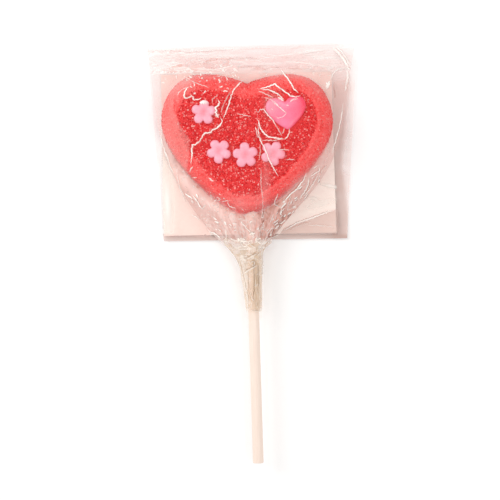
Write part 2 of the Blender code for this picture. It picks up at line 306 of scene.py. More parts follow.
def bump_from(tree, shader, height, depth):
    """Bump of this many metres from a height output."""
    bump = tree.nodes.new("ShaderNodeBump")
    bump.inputs["Distance"].default_value = depth
    bump.inputs["Strength"].default_value = 1.0
    tree.links.new(height, bump.inputs["Height"])
    tree.links.new(bump.outputs["Normal"], shader.inputs["Normal"])


jelly, tree, shader = node_material("red_jelly", 0.5)
speck = grain_node(tree, 1100.0, detail=3.0, roughness=0.7)
reds = ramp_node(
    tree,
    speck.outputs["Fac"],
    ((0.30, (0.72, 0.006, 0.010)), (0.5, (0.83, 0.013, 0.017)), (0.72, (0.92, 0.060, 0.060))),
)
# The rim's reds are lighter: partly painted highlight for the glancing light on its slope, and
# partly the film's haze over it.
rim_reds = ramp_node(
    tree,
    speck.outputs["Fac"],
    ((0.30, (0.89, 0.055, 0.054)), (0.5, (0.94, 0.088, 0.083)), (0.72, (0.97, 0.16, 0.15))),
)
on_pad = attribute_output(tree, "pad")
both = mix_output(tree, on_pad, rim_reds.outputs["Color"], reds.outputs["Color"])
tree.links.new(both, shader.inputs["Base Color"])
shader.inputs["Specular IOR Level"].default_value = 0.3
shader.inputs["Subsurface Weight"].default_value = 0.2
shader.inputs["Subsurface Radius"].default_value = (1.0, 0.15, 0.15)
shader.inputs["Subsurface Scale"].default_value = 0.003
bump_from(tree, shader, speck.outputs["Fac"], 0.2 * MM)
candy.data.materials.append(jelly)
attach(candy, "root")
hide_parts("candy_heart")


# The sugar: clear grains that stick to the moist jelly as the candy is rolled in them. The red
# stains them, so they show as lighter and darker specks, and they are worn smaller on the rim.

GRAINS = 24000
GRAIN_APART = 0.35 * MM
SMALLEST_GRAIN, LARGEST_GRAIN = 0.27 * MM, 0.56 * MM
SHOWN_Z, BACK_SHARE = 3.5 * MM, 0.45
BARE_RIM = 0.45
ICING_FOOT = 12 * MM
# The middle and reach in mm of each piece of icing, which leaves no room for grains.
ICING_PLACES = (
    (14.6, 11.0, 7.2),
    (-16.1, 11.0, 4.4),
    (-10.4, -3.4, 4.3),
    (-0.6, -4.9, 4.5),
    (9.6, -4.2, 4.4),
)
draw = np.random.RandomState(214)


def spread_points(obj, count, apart):
    """Random places on a mesh, no two nearer than apart, with the surface's normals."""
    mesh = obj.data
    mesh.calc_loop_triangles()
    corners = np.array([[mesh.vertices[i].co[:] for i in t.vertices] for t in mesh.loop_triangles])
    cross = np.cross(corners[:, 1] - corners[:, 0], corners[:, 2] - corners[:, 0])
    area = np.linalg.norm(cross, axis=1)
    normals = cross / np.maximum(area, 1e-12)[:, None]
    shown = corners[:, :, 2].mean(axis=1) > cad_box[0][2] + SHOWN_Z
    weight = area * np.where(shown, 1.0, BACK_SHARE)
    chosen = draw.choice(len(area), size=count * 3, p=weight / weight.sum())
    u, v = np.sqrt(draw.rand(count * 3)), draw.rand(count * 3)
    a, b, c = (corners[chosen, i] for i in range(3))
    points = a * (1 - u)[:, None] + b * (u * (1 - v))[:, None] + c * (u * v)[:, None]
    cells, kept = {}, []
    for i, point in enumerate(points):
        key = tuple(np.floor(point / apart).astype(int))
        near = [
            cells.get((key[0] + dx, key[1] + dy, key[2] + dz))
            for dx in (-1, 0, 1)
            for dy in (-1, 0, 1)
            for dz in (-1, 0, 1)
        ]
        if any(other is not None and np.abs(points[other] - point).max() < apart for other in near):
            continue
        cells[key] = i
        kept.append(i)
        if len(kept) == count:
            break
    return points[kept], normals[chosen][kept]


def random_turns(count):
    """Random rotation matrices, from random unit quaternions."""
    q = draw.normal(size=(count, 4))
    w, x, y, z = (q / np.linalg.norm(q, axis=1)[:, None]).T
    return np.stack(
        [
            np.stack([1 - 2 * (y * y + z * z), 2 * (x * y - w * z), 2 * (x * z + w * y)], -1),
            np.stack([2 * (x * y + w * z), 1 - 2 * (x * x + z * z), 2 * (y * z - w * x)], -1),
            np.stack([2 * (x * z - w * y), 2 * (y * z + w * x), 1 - 2 * (x * x + y * y)], -1),
        ],
        axis=1,
    )


def add_grains(name, points, normals, scale, shades):
    """One mesh of sugar grains, copies of a small block, each turned and sized at random.

    Each grain's own shade lies between its least and most shade.
    """
    bpy.ops.object.select_all(action="DESELECT")
    bpy.ops.mesh.primitive_cube_add(size=1.0)
    block = bpy.context.object
    base = np.array([v.co[:] for v in block.data.vertices])
    faces = np.array([p.vertices[:] for p in block.data.polygons])
    bpy.data.objects.remove(block)
    count = len(points)
    size = SMALLEST_GRAIN + (LARGEST_GRAIN - SMALLEST_GRAIN) * draw.rand(count) ** 1.5
    size = size * scale
    stretch = 0.75 + 0.5 * draw.rand(count, 3)
    blocks = base[None] * (size[:, None] * stretch)[:, None, :]
    blocks = np.einsum("nij,nkj->nki", random_turns(count), blocks)
    blocks += (points + normals * (size * 0.06)[:, None])[:, None, :]
    all_faces = faces[None] + (np.arange(count) * 8)[:, None, None]
    mesh = bpy.data.meshes.new(name)
    mesh.from_pydata(blocks.reshape(-1, 3).tolist(), [], all_faces.reshape(-1, 4).tolist())
    obj = new_object(name, mesh)
    own = shades[0] + (shades[1] - shades[0]) * draw.rand(count)
    store(obj, "shade", np.repeat(own, 8))
    return obj


points, normals = spread_points(candy, GRAINS, GRAIN_APART)
clear = np.ones(len(points), bool)
for x, y, reach in ICING_PLACES:
    off = np.hypot(points[:, 0] - x * MM, points[:, 1] - y * MM) < reach * MM * 0.92
    clear &= ~(off & (points[:, 2] > ICING_FOOT))
grain_inset = inset_from_side(points, side)
on_top = points[:, 2] > low + WIDEST_Z
on_rim = on_top & (grain_inset < GROOVE_INSET - 0.6)
clear &= ~(on_rim & (draw.rand(len(points)) < BARE_RIM))
scale = np.where(on_rim, 0.8, 1.0)[clear]
shades = np.where(on_rim, 0.66, 0.0)[clear], np.where(on_rim, 0.93, 1.0)[clear]
grains = add_grains("sugar_grains", points[clear], normals[clear], scale, shades)

sugar, tree, shader = node_material("red_stained_sugar", 0.22)
grain_tones = ramp_node(
    tree,
    attribute_output(tree, "shade"),
    (
        (0.0, (0.64, 0.004, 0.008)),
        (0.48, (0.82, 0.010, 0.014)),
        (0.80, (0.92, 0.065, 0.062)),
        (1.0, (0.98, 0.42, 0.39)),
    ),
)
tree.links.new(grain_tones.outputs["Color"], shader.inputs["Base Color"])
shader.inputs["Specular IOR Level"].default_value = 0.38
grains.data.materials.append(sugar)
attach(grains, "root")


# The icing: one pillow heart in deep pink and four pale pink blossoms, piped onto the face and
# left to set. They are smooth and glossy, and a little sugar dust dulls their gloss.


def icing_material(name, low, high, edge, roughness):
    """Icing whose thin edge lets the candy's red through; its right side gets the same red as
    painted shade.
    """
    mat, tree, shader = node_material(name, roughness)
    cloudy = grain_node(tree, 160.0, detail=3.0)
    tones = ramp_node(tree, cloudy.outputs["Fac"], ((0.3, low), (0.7, high)))
    red_through_and_painted_shade = mix_output(tree, attribute_output(tree, "thin_and_painted_shade"), tones.outputs["Color"], edge)
    tree.links.new(red_through_and_painted_shade, shader.inputs["Base Color"])
    shader.inputs["Subsurface Weight"].default_value = 0.15
    shader.inputs["Subsurface Radius"].default_value = (1.0, 0.4, 0.4)
    shader.inputs["Subsurface Scale"].default_value = 0.0015
    dust = grain_node(tree, 1400.0, detail=2.0)
    bump_from(tree, shader, dust.outputs["Fac"], 0.03 * MM)
    return mat


deep_pink = icing_material(
    "deep_pink_icing", (0.94, 0.16, 0.28), (0.97, 0.24, 0.39), (0.95, 0.055, 0.12), 0.26
)
pale_pink = icing_material(
    "pale_pink_icing", (0.93, 0.36, 0.45), (0.96, 0.45, 0.55), (0.95, 0.20, 0.25), 0.30
)


def make_icing(node, mat, to_right):
    """Icing over a CAD node; to_right says how much deeper red is painted on its right, as painted
    shade.
    """
    piece = merged_copy(node, node + "_piped")
    even_skin(piece, voxel=0.22 * MM, smoothing=10)
    cloud_displace(piece, node + "_soft_hand", size=3.0 * MM, strength=0.12 * MM)
    apply_modifiers(piece)
    bpy.ops.object.shade_smooth()
    across, _, tall = mesh_points(piece).T
    sunk = (tall.max() - tall) / np.ptp(tall)
    to_side = (across - across.min()) / np.ptp(across)
    # Deeper red where the icing is thin, and painted shade that darkens its right side.
    store(piece, "thin_and_painted_shade", sunk * 1.4 - 0.35 + to_right * to_side**2)
    piece.data.materials.append(mat)
    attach(piece, "root")
    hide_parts(node)
    return piece


icing = [make_icing("icing_heart", deep_pink, 0.95)]
for place in ("lobe", "left", "middle", "right"):
    icing.append(make_icing("icing_blossom_" + place, pale_pink, 0.4))


# The stick: warm white paper rolled hard into a 4 mm rod, cut square. Its upper end is set in
# the candy.

STICK_RADIUS = 2.0 * MM
STICK_Z = 7.6
STICK_TOP = Vector((0.667 * MM, -3.4 * MM, STICK_Z * MM))
STICK_FOOT = Vector((4.22 * MM, -119.98 * MM, STICK_Z * MM))

bpy.ops.object.select_all(action="DESELECT")
bpy.ops.mesh.primitive_cylinder_add(
    vertices=96,
    radius=STICK_RADIUS,
    depth=(STICK_TOP - STICK_FOOT).length,
    location=(STICK_TOP + STICK_FOOT) / 2,
    rotation=(STICK_TOP - STICK_FOOT).to_track_quat("Z", "Y").to_euler(),
)
stick = bpy.context.object
stick.name = "paper_stick"
bpy.ops.object.transform_apply(location=True, rotation=True, scale=True)
soft_rim = stick.modifiers.new("cut rim", "BEVEL")
soft_rim.width = 0.22 * MM
soft_rim.segments = 3
soft_rim.limit_method = "ANGLE"
apply_modifiers(stick)
bpy.ops.object.shade_smooth_by_angle(angle=math.radians(40))

rolled, tree, shader = node_material("rolled_paper", 0.62)
coords = tree.nodes.new("ShaderNodeTexCoord")
along = tree.nodes.new("ShaderNodeMapping")
along.inputs["Scale"].default_value = (1.0, 0.06, 1.0)
tree.links.new(coords.outputs["Object"], along.inputs["Vector"])
fibres = tree.nodes.new("ShaderNodeTexNoise")
fibres.inputs["Scale"].default_value = 1800.0
fibres.inputs["Detail"].default_value = 3.0
tree.links.new(along.outputs["Vector"], fibres.inputs["Vector"])
paper_tones = ramp_node(
    tree, fibres.outputs["Fac"], ((0.25, (0.87, 0.71, 0.615)), (0.75, (0.93, 0.78, 0.685)))
)
tree.links.new(paper_tones.outputs["Color"], shader.inputs["Base Color"])
bump_from(tree, shader, fibres.outputs["Fac"], 0.03 * MM)
stick.data.materials.append(rolled)
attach(stick, "root")
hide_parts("stick")


# The backing card: a square of thin white card that lies behind the candy. Its lower corners
# show beside the stick, and one of them curls up a little.

card = merged_copy("backing_card", "white_backing_card")
finer = card.modifiers.new("even curl", "SUBSURF")
finer.levels = finer.render_levels = 1
finer.subdivision_type = "SIMPLE"
apply_modifiers(card)
bpy.ops.object.shade_smooth_by_angle(angle=math.radians(40))
card_white, tree, shader = node_material("card_white", 0.45)
pulp = grain_node(tree, 700.0, detail=4.0)
card_tones = ramp_node(
    tree, pulp.outputs["Fac"], ((0.3, (0.93, 0.79, 0.72)), (0.7, (0.96, 0.83, 0.76)))
)
tree.links.new(card_tones.outputs["Color"], shader.inputs["Base Color"])
bump_from(tree, shader, pulp.outputs["Fac"], 0.02 * MM)
card.data.materials.append(card_white)
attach(card, "root")
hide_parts("backing_card")


# The wrapper: clear plastic film. A back sheet lies flat under the card. The front sheet is
# drawn taut over the candy, with sharp creases, and pulled in to the neck, where it is wound
# round the stick.


def maths(tree, operation, *values, clamp=False):
    """A Math node's output; each value is a number or another node's output."""
    node = tree.nodes.new("ShaderNodeMath")
    node.operation = operation
    node.use_clamp = clamp
    for socket, value in zip(node.inputs, values):
        if isinstance(value, float):
            socket.default_value = value
        else:
            tree.links.new(value, socket)
    return node.outputs["Value"]


# How much a crumpled facet's own haze and painted shade, and the painted shadow along the edge of
# some, add to the haze and the tint.
FACET_HAZE, EDGE_HAZE = 0.34, 0.32
FACET_TINT, EDGE_TINT = 0.30, 0.42


def film_folds_group():
    """A node group that turns the film's stored fields into its cover, lit share and tint.

    The film hides what is under it by its cover, is white by its lit share, which is painted
    highlight, and otherwise has its tint's colour, which also carries painted shade and light.
    Where its crinkle is high it is crumpled in small facets along its flow: each has its own haze
    and a painted shade, and some have a painted highlight along an edge with a painted shadow
    beside it.
    """
    group = bpy.data.node_groups.new("film_folds", "ShaderNodeTree")
    for name in ("Cover", "Lit Share", "Tint"):
        group.interface.new_socket(name=name, in_out="OUTPUT", socket_type="NodeSocketFloat")
    group.interface.new_socket(name="Facets", in_out="INPUT", socket_type="NodeSocketFloat")
    links = group.links
    given, out = group.nodes.new("NodeGroupInput"), group.nodes.new("NodeGroupOutput")
    fields = {}
    for field in ("haze", "crease", "tint_and_painted_light", "crinkle", "flow"):
        fields[field] = group.nodes.new("ShaderNodeAttribute")
        fields[field].attribute_name = field
    waves = group.nodes.new("ShaderNodeTexNoise")
    waves.inputs["Scale"].default_value = 0.6
    waves.inputs["Detail"].default_value = 3.0
    waves.inputs["Roughness"].default_value = 0.6
    links.new(fields["flow"].outputs["Vector"], waves.inputs["Vector"])
    bent = group.nodes.new("ShaderNodeVectorMath")
    bent.operation = "MULTIPLY_ADD"
    links.new(waves.outputs["Color"], bent.inputs[0])
    bent.inputs[1].default_value = (1.6, 1.6, 1.6)
    links.new(fields["flow"].outputs["Vector"], bent.inputs[2])
    facets = group.nodes.new("ShaderNodeTexVoronoi")
    edges = group.nodes.new("ShaderNodeTexVoronoi")
    edges.feature = "DISTANCE_TO_EDGE"
    for node in (facets, edges):
        links.new(bent.outputs["Vector"], node.inputs["Vector"])
        links.new(given.outputs["Facets"], node.inputs["Scale"])
    tone = group.nodes.new("ShaderNodeSeparateColor")
    links.new(facets.outputs["Color"], tone.inputs["Color"])
    amount = fields["crinkle"].outputs["Fac"]

    def line(middle, sharp):
        """1 along a line at this distance from the facets' edges, and 0 off it."""
        off = maths(group, "ABSOLUTE", maths(group, "SUBTRACT", edges.outputs["Distance"], middle))
        return maths(group, "MULTIPLY_ADD", off, -sharp, 1.0, clamp=True)

    def chosen(channel):
        """Which facets have a line: those high in one channel of their tone."""
        share = maths(group, "MULTIPLY_ADD", tone.outputs[channel], 4.0, -2.5, clamp=True)
        return maths(group, "MULTIPLY", share, amount)

    # Painted highlights along some facets' edges, and painted shadows a little way in from them.
    lit = maths(group, "MULTIPLY", line(middle=0.04, sharp=8.0), chosen("Blue"))
    dark = maths(group, "MULTIPLY", line(middle=0.17, sharp=7.0), chosen("Green"))
    uneven = maths(group, "MULTIPLY", maths(group, "SUBTRACT", tone.outputs["Red"], 0.5), amount)
    shaded = maths(group, "MULTIPLY", maths(group, "SUBTRACT", tone.outputs["Green"], 0.5), amount)
    creased = maths(group, "MAXIMUM", fields["crease"].outputs["Fac"], lit)
    haze = maths(group, "MULTIPLY_ADD", uneven, FACET_HAZE, fields["haze"].outputs["Fac"])
    haze = maths(group, "MULTIPLY_ADD", dark, EDGE_HAZE, haze)
    tint = maths(group, "MULTIPLY_ADD", shaded, FACET_TINT, fields["tint_and_painted_light"].outputs["Fac"])
    tint = maths(group, "MULTIPLY_ADD", dark, EDGE_TINT, tint)
    cover = maths(group, "MAXIMUM", haze, creased)
    links.new(maths(group, "MINIMUM", cover, 1.0), out.inputs["Cover"])
    links.new(maths(group, "DIVIDE", creased, cover, clamp=True), out.inputs["Lit Share"])
    links.new(tint, out.inputs["Tint"])
    return group


film_folds = film_folds_group()


def film_material(name, tints_and_painted_shades, white, facets):
    """Film with these tints and painted shades from palest to darkest, this white for its
    painted highlights, and this many facets a millimetre.
    """
    mat, tree, shader = node_material(name, 0.16)
    folds = tree.nodes.new("ShaderNodeGroup")
    folds.node_tree = film_folds
    folds.inputs["Facets"].default_value = facets
    tint_and_painted_shade_colour = ramp_node(tree, folds.outputs["Tint"], tints_and_painted_shades)
    whitened = mix_output(tree, folds.outputs["Lit Share"], tint_and_painted_shade_colour.outputs["Color"], white)
    tree.links.new(whitened, shader.inputs["Base Color"])
    tree.links.new(folds.outputs["Cover"], shader.inputs["Alpha"])
    return mat


# The white of the painted highlights on the film.
LIT_WHITE = (1.0, 0.955, 0.90)
SHEET_FACETS = 0.9
clear_film = film_material(
    "clear_film",
    (
        (0.0, (0.99, 0.90, 0.86)),
        (0.35, (0.97, 0.655, 0.60)),
        (0.7, (0.78, 0.38, 0.31)),
        (1.0, (0.34, 0.13, 0.10)),
    ),
    LIT_WHITE,
    SHEET_FACETS,
)
# A darker ramp whose greys paint the card's shadow on the back sheet; the right wing uses it too.
shaded_film = film_material(
    "shaded_film",
    (
        (0.0, (0.98, 0.88, 0.85)),
        (0.35, (0.86, 0.62, 0.56)),
        (0.7, (0.60, 0.42, 0.37)),
        (1.0, (0.32, 0.16, 0.13)),
    ),
    LIT_WHITE,
    SHEET_FACETS,
)


def film_sheet(name, x, y, z, haze, crease, tint_and_painted_light, mat=clear_film, crinkle=None, flow=None):
    """A film sheet over a grid of places, row 0 lowest in y, with its look stored on its points."""
    rows, columns = z.shape
    bpy.ops.object.select_all(action="DESELECT")
    bpy.ops.mesh.primitive_grid_add(x_subdivisions=columns - 1, y_subdivisions=rows - 1, size=1.0)
    sheet = bpy.context.object
    sheet.name = name
    flat = mesh_points(sheet)
    column = np.rint((flat[:, 0] + 0.5) * (columns - 1)).astype(int)
    row = np.rint((flat[:, 1] + 0.5) * (rows - 1)).astype(int)
    shaped = np.stack([x[row, column], y[row, column], z[row, column]], axis=1) * MM
    sheet.data.vertices.foreach_set("co", shaped.astype(np.float32).ravel())
    for field, values in (("haze", haze), ("crease", crease), ("tint_and_painted_light", tint_and_painted_light)):
        store(sheet, field, values[row, column])
    if crinkle is not None:
        store(sheet, "crinkle", crinkle[row, column])
        along = np.stack([part[row, column] for part in flow], axis=1)
        layer = sheet.data.attributes.new("flow", "FLOAT_VECTOR", "POINT")
        layer.data.foreach_set("vector", along.astype(np.float32).ravel())
    bpy.ops.object.shade_smooth()
    sheet.data.materials.append(mat)
    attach(sheet, "root")
    return sheet


def smoothstep(low, high, value):
    """A soft step from 0 at low to 1 at high."""
    t = np.clip((value - low) / (high - low), 0, 1)
    return t * t * (3 - 2 * t)


def wander(x, y, waves, seed):
    """Smooth random height, about -1 to 1, from a few sine waves of this length in mm."""
    rng = np.random.RandomState(seed)
    total = np.zeros(np.shape(x))
    for _ in range(9):
        angle, phase = rng.rand(2) * 2 * math.pi
        length = waves * (0.6 + 1.1 * rng.rand())
        total += np.sin((x * math.cos(angle) + y * math.sin(angle)) * 2 * math.pi / length + phase)
    return total / 4.5


def patch(x, y, centre, reach, turn=0.0):
    """A soft oval patch, 1 at its centre; in mm and degrees."""
    c, s = math.cos(math.radians(turn)), math.sin(math.radians(turn))
    dx, dy = x - centre[0], y - centre[1]
    along, across = (dx * c + dy * s) / reach[0], (dy * c - dx * s) / reach[1]
    return np.exp(-(along**2 + across**2))


def quad_places(corners, columns, rows):
    """Grid places over four corners in mm, anticlockwise from the lower left."""
    across, up = np.meshgrid(np.linspace(0, 1, columns), np.linspace(0, 1, rows))
    (ax, ay), (bx, by), (cx, cy), (dx, dy) = corners
    x = (ax * (1 - across) + bx * across) * (1 - up) + (dx * (1 - across) + cx * across) * up
    y = (ay * (1 - across) + by * across) * (1 - up) + (dy * (1 - across) + cy * across) * up
    return x, y


SHEET_HALF_X, SHEET_HALF_Y = 39.0, 36.5
EDGE_LIFT, FLAT_SHARE, EDGE_SHARE = 0.75, 0.8, 0.2


def sheet_lift(x, y):
    """How far a sheet's edges curl up off the table, in mm."""
    reach = ((np.abs(x) / SHEET_HALF_X) ** 8 + (np.abs(y) / SHEET_HALF_Y) ** 8) ** 0.125
    return EDGE_LIFT * (np.maximum(0.0, reach - FLAT_SHARE) / EDGE_SHARE) ** 2


def surface_tree(objects):
    """The faces of some pieces, ready to be looked down on."""
    vertices, polygons = [], []
    for obj in objects:
        start = len(vertices)
        vertices += [v.co.copy() for v in obj.data.vertices]
        polygons += [[start + i for i in p.vertices] for p in obj.data.polygons]
    return BVHTree.FromPolygons(vertices, polygons)


def heights(tree, x, y, otherwise):
    """The height in mm of what a tree holds under each place in mm."""
    out = np.full(x.shape, otherwise)
    for index in np.ndindex(x.shape):
        hit = tree.ray_cast(Vector((x[index] * MM, y[index] * MM, 0.1)), Vector((0, 0, -1)))[0]
        if hit:
            out[index] = hit.z / MM
    return out


# The back sheet: film that lies flat on the table under the card. Its right and lower edges show
# beyond the card, in the card's shadow: partly a real shadow and partly painted shadow, darker and
# hazier film.

SHEET_BASE = 0.15
x, y = quad_places(((-31.5, -36.8), (37.9, -35.6), (41.6, 38.6), (-37.9, 36.4)), 120, 120)
beside = smoothstep(31.5, 33.3, x) * smoothstep(28.0, 20.0, y)
# Painted shadow of the card: beside its right edge and below its lower edge the film is made hazier
# and darker.
above, beneath = np.maximum(y + 8.0, 0), np.minimum(y + 8.0, 0)
near_card = beside * smoothstep(36.8, 34.8, x - 0.10 * above + 0.14 * beneath)
below = smoothstep(-33.6, -34.6, y)
shade = np.maximum(near_card * (1 - 0.35 * smoothstep(-5.0, 12.0, y)), 1.35 * below)
haze = 0.12 + 0.18 * beside + 0.36 * shade + 0.14 * below * smoothstep(5.0, 20.0, x)
haze = haze + 0.05 * wander(x * 0.2, y, 6.0, 3)
tint_and_painted_light = 0.24 + 0.06 * beside + 0.26 * shade + 0.10 * below * smoothstep(5.0, 20.0, x)
corner = smoothstep(2.0, 4.5, (x - 32.3) * 0.75 + (y - 35.9) * 0.66)
haze = haze * (1 - 0.5 * corner)
tint_and_painted_light = tint_and_painted_light * (1 - 0.6 * corner)
z = SHEET_BASE + sheet_lift(x, y) * 0.85
back_sheet = film_sheet("film_back_sheet", x, y, z, haze, np.zeros(x.shape), tint_and_painted_light, shaded_film)
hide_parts("film_back")


# The front sheet: film drawn taut over the candy and held at its edges. Its sides run from its
# top corners round the candy and down to the neck, where its foot arches over the stick.

# The sides of the sheet, a few places each in mm.
FRONT_LEFT = ((-37.6, 35.8), (-35.9, 22.0), (-34.4, 9.0), (-31.4, -3.5))
FRONT_LEFT += ((-26.4, -15.0), (-19.0, -27.5), (-8.8, -38.5))
FRONT_RIGHT = ((40.6, 37.8), (38.6, 24.5), (36.8, 11.0), (34.4, -2.5))
FRONT_RIGHT += ((28.0, -14.5), (16.8, -26.5), (7.2, -38.5))
FRONT_ROWS, FRONT_COLUMNS = 210, 200
# In mm: its gap over what it covers, how far under the CAD skin it starts, the height of its
# edges, and the arch at its foot.
FILM_GAP = 0.30
UNDER_SKIN = 0.15
EDGE_Z = 1.75
ARCH_Z, ARCH_X, ARCH_REACH = 11.3, 1.8, 8.6
RELAX_ROUNDS = 300


def smooth_side(points, shares):
    """Places along a side at these shares of the way down, rounded off between its points."""
    places = np.linspace(0, 1, len(points))
    spread = 0.09 * np.minimum(1.0, np.minimum(8 * shares, 8 * (1 - shares)))
    steps = np.linspace(-1, 1, 7)[:, None]
    near = shares + spread * steps
    x, y = (np.interp(near, places, [p[i] for p in points]).mean(axis=0) for i in (0, 1))
    return x[:, None], y[:, None]


shares = np.linspace(1, 0, FRONT_ROWS)
left_x, left_y = smooth_side(FRONT_LEFT, shares)
right_x, right_y = smooth_side(FRONT_RIGHT, shares)
across = np.linspace(0, 1, FRONT_COLUMNS)[None, :]
x = left_x * (1 - across) + right_x * across
y = left_y * (1 - across) + right_y * across


def widest(z):
    """Each place's highest neighbour, itself included."""
    padded = np.pad(z, 1, mode="edge")
    rows, columns = z.shape
    shifted = [padded[i : i + rows, j : j + columns] for i in range(3) for j in range(3)]
    return np.max(shifted, axis=0)


def relax(z, floor, held, rounds):
    """A taut sheet: each place sinks to its neighbours' mean, but not through what it covers."""
    for _ in range(rounds):
        mean = z.copy()
        mean[1:-1, 1:-1] = (z[:-2, 1:-1] + z[2:, 1:-1] + z[1:-1, :-2] + z[1:-1, 2:]) / 4
        z = np.where(held, z, np.maximum(mean, floor))
    return z


under = heights(surface_tree([candy, stick, *icing]), x, y, -1.0)
edge = EDGE_Z + sheet_lift(x, y)
floor = np.maximum(widest(under) + FILM_GAP, edge)
cad_skin = heights(surface_tree([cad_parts["film_front"]]), x, y, -1.0)
z = np.where(cad_skin > 0, cad_skin - UNDER_SKIN, edge)
held = np.zeros(z.shape, bool)
held[[0, -1], :] = held[:, [0, -1]] = True
z[held] = edge[held]
arch = np.maximum(0, 1 - ((x[0] - ARCH_X) / ARCH_REACH) ** 2) ** 0.7
z[0] = edge[0] + (ARCH_Z - edge[0]) * arch
z = relax(z, floor, held, RELAX_ROUNDS)

# Its look, by place. The film is clear over the candy, hazier where it is bare, and most of all
# where it is pulled together in a cone towards the neck. Each cloudy place is given by its
# strength, its middle and reach in mm, and its turn in degrees.
NECK_MIDDLE = (2.4, -50.0)
CLOUDY_PLACES = (
    (0.40, (-30.0, -6.0), (3.6, 13.0), 10),
    (0.62, (-23.0, -13.0), (4.0, 9.5), 32),
    (0.66, (-13.4, -21.8), (3.2, 9.5), 54),
    (0.24, (-24.0, 22.5), (11.0, 3.6), 38),
    (0.24, (4.0, 26.0), (22.0, 2.4), 0),
    (0.12, (24.0, 22.5), (9.0, 2.6), -38),
    (0.30, (18.0, -17.5), (2.2, 12.0), -46),
    (0.16, (9.5, 13.5), (3.0, 4.0), 0),
    (0.11, (6.8, -15.0), (1.8, 11.0), -4),
    (0.11, (-1.0, -23.0), (11.0, 3.4), 0),
)
# How far left the film clings to the candy, at each height in mm.
CLING_Y, CLING_X = (-9.4, -4.5, 1.1, 5.2, 12.4), (-22.5, -21.6, -21.4, -24.4, -27.6)
RING_HAZE = 0.66
FOLDS_ROUND_NECK = 26.0
candy_height = heights(surface_tree([candy]), x, y, 0.0)
on_candy = smoothstep(1.0, 5.0, candy_height)
far = np.hypot(x - NECK_MIDDLE[0], y - NECK_MIDDLE[1])
angle = np.arctan2(x - NECK_MIDDLE[0], y - NECK_MIDDLE[1])
pulled = smoothstep(42.0, 20.0, far)
bare = 1 - on_candy
to_right = smoothstep(-4, 12, x)
stick_shows = patch(x, y, (1.6, -31.0), (2.0, 5.0), 2)
haze = 0.015 + 0.255 * bare + pulled * bare * (0.24 + 0.26 * to_right)
tint_and_painted_light = 0.08 + 0.30 * bare + pulled * bare * (0.03 + 0.37 * to_right) * (1 - 0.5 * stick_shows)
for strength, centre, reach, turn in CLOUDY_PLACES:
    cloud = strength * patch(x, y, centre, reach, turn)
    if strength >= 0.4:
        cloud = cloud * (0.15 + 0.85 * bare)
    haze += cloud * (1 + 0.3 * wander(x, y, 7.0, int(reach[0] * 10)))
cling_edge = np.interp(y, CLING_Y, CLING_X)
clinging = smoothstep(cling_edge + 0.5, cling_edge - 0.4, x)
clinging = clinging * smoothstep(19.0, 14.0, y) * smoothstep(-15.0, -8.0, y)
haze += 0.17 * clinging * on_candy
tint_and_painted_light += 0.24 * clinging * on_candy
# Round the candy's lower outline the film is painted hazier and redder: painted light for the
# candy's red bounce and for the light that the steep film there does not get.
places = np.stack([x.ravel(), y.ravel(), 0 * x.ravel()], axis=1) * MM
beside_candy = inset_from_side(places, side)
beside_candy = np.exp(-((beside_candy.reshape(x.shape) / 1.9) ** 2)) * smoothstep(3.0, -8.0, y)
beside_candy *= smoothstep(11.0, 5.0, candy_height + 0.9 * wander(x, y, 1.8, 52))
haze = haze + (RING_HAZE - haze) * beside_candy * 0.8
tint_and_painted_light = tint_and_painted_light + 0.32 * beside_candy * smoothstep(0.0, 4.0, candy_height + 2.0 * beside_candy)
top = smoothstep(25.0, 31.0, y)
haze = haze * (1 - 0.5 * smoothstep(31.0, 35.5, y))
haze = haze * (1 + 0.22 * top * wander(x * 0.35, y, 5.0, 31))
haze = haze * (1 - 0.45 * smoothstep(-25.0, -33.0, x) * smoothstep(2.0, 14.0, y))
round_neck = angle * FOLDS_ROUND_NECK
fan = wander(round_neck, far * 0.10, 5.0, 6)
fine_fan = wander(round_neck, far * 0.14, 2.0, 8)
level_fan = wander(x * 0.09, y, 2.2, 9)
unrest = wander(x, y, 3.2, 10)
on_cone = pulled * bare
mottle = wander(x, y, 1.5, 51)
haze = haze + on_cone * (0.06 * (fan + fine_fan) + 0.08 * mottle)
tint_and_painted_light = tint_and_painted_light + on_cone * (0.05 * (fine_fan - fan) - 0.06 * mottle) - 0.10 * top * level_fan
# Painted highlights: white streaks on the cone and level ones along the top.
painted_highlight_streaks = 0.24 * on_cone * smoothstep(0.25, 0.9, fine_fan + 0.4 * unrest)
painted_highlight_streaks = painted_highlight_streaks + 0.30 * top * smoothstep(0.3, 0.95, level_fan + 0.25 * unrest)
z = z + np.where(held, 0, 0.14 * fan * pulled * bare + 0.10 * top * wander(x * 0.3, y, 5.0, 31))
upper = y > 24.0
flow = (np.where(upper, 0.7 * y, round_neck), np.where(upper, 0.24 * x, 0.42 * far), 0 * x)
strained = on_cone * (0.45 + 0.5 * to_right) + 0.5 * beside_candy * (1 - on_cone)
crumpled = 0.45 * smoothstep(24.3, 26.5, y)
crumpled = crumpled + 0.35 * smoothstep(24.0, 28.0, y) * smoothstep(0.0, -20.0, x)
crumpled *= smoothstep(37.5, 33.0, y) * (1 - 0.4 * smoothstep(6.0, 20.0, x))
crinkle = np.where(upper, crumpled, strained)
above_foot = 0.2 + 0.8 * smoothstep(-38.6, -34.6, y)
haze, painted_highlight_streaks = haze * above_foot, painted_highlight_streaks * above_foot
front_sheet = film_sheet(
    "film_front_sheet", x, y, z, haze, painted_highlight_streaks, tint_and_painted_light, clear_film, crinkle, flow
)
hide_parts("film_front")


# The wings: the front sheet's slack sides, which lie on the card on both sides of the cone. The
# left one has a painted reflection of the window in a soft band, and the right one is folded double
# at its foot and has painted glare.

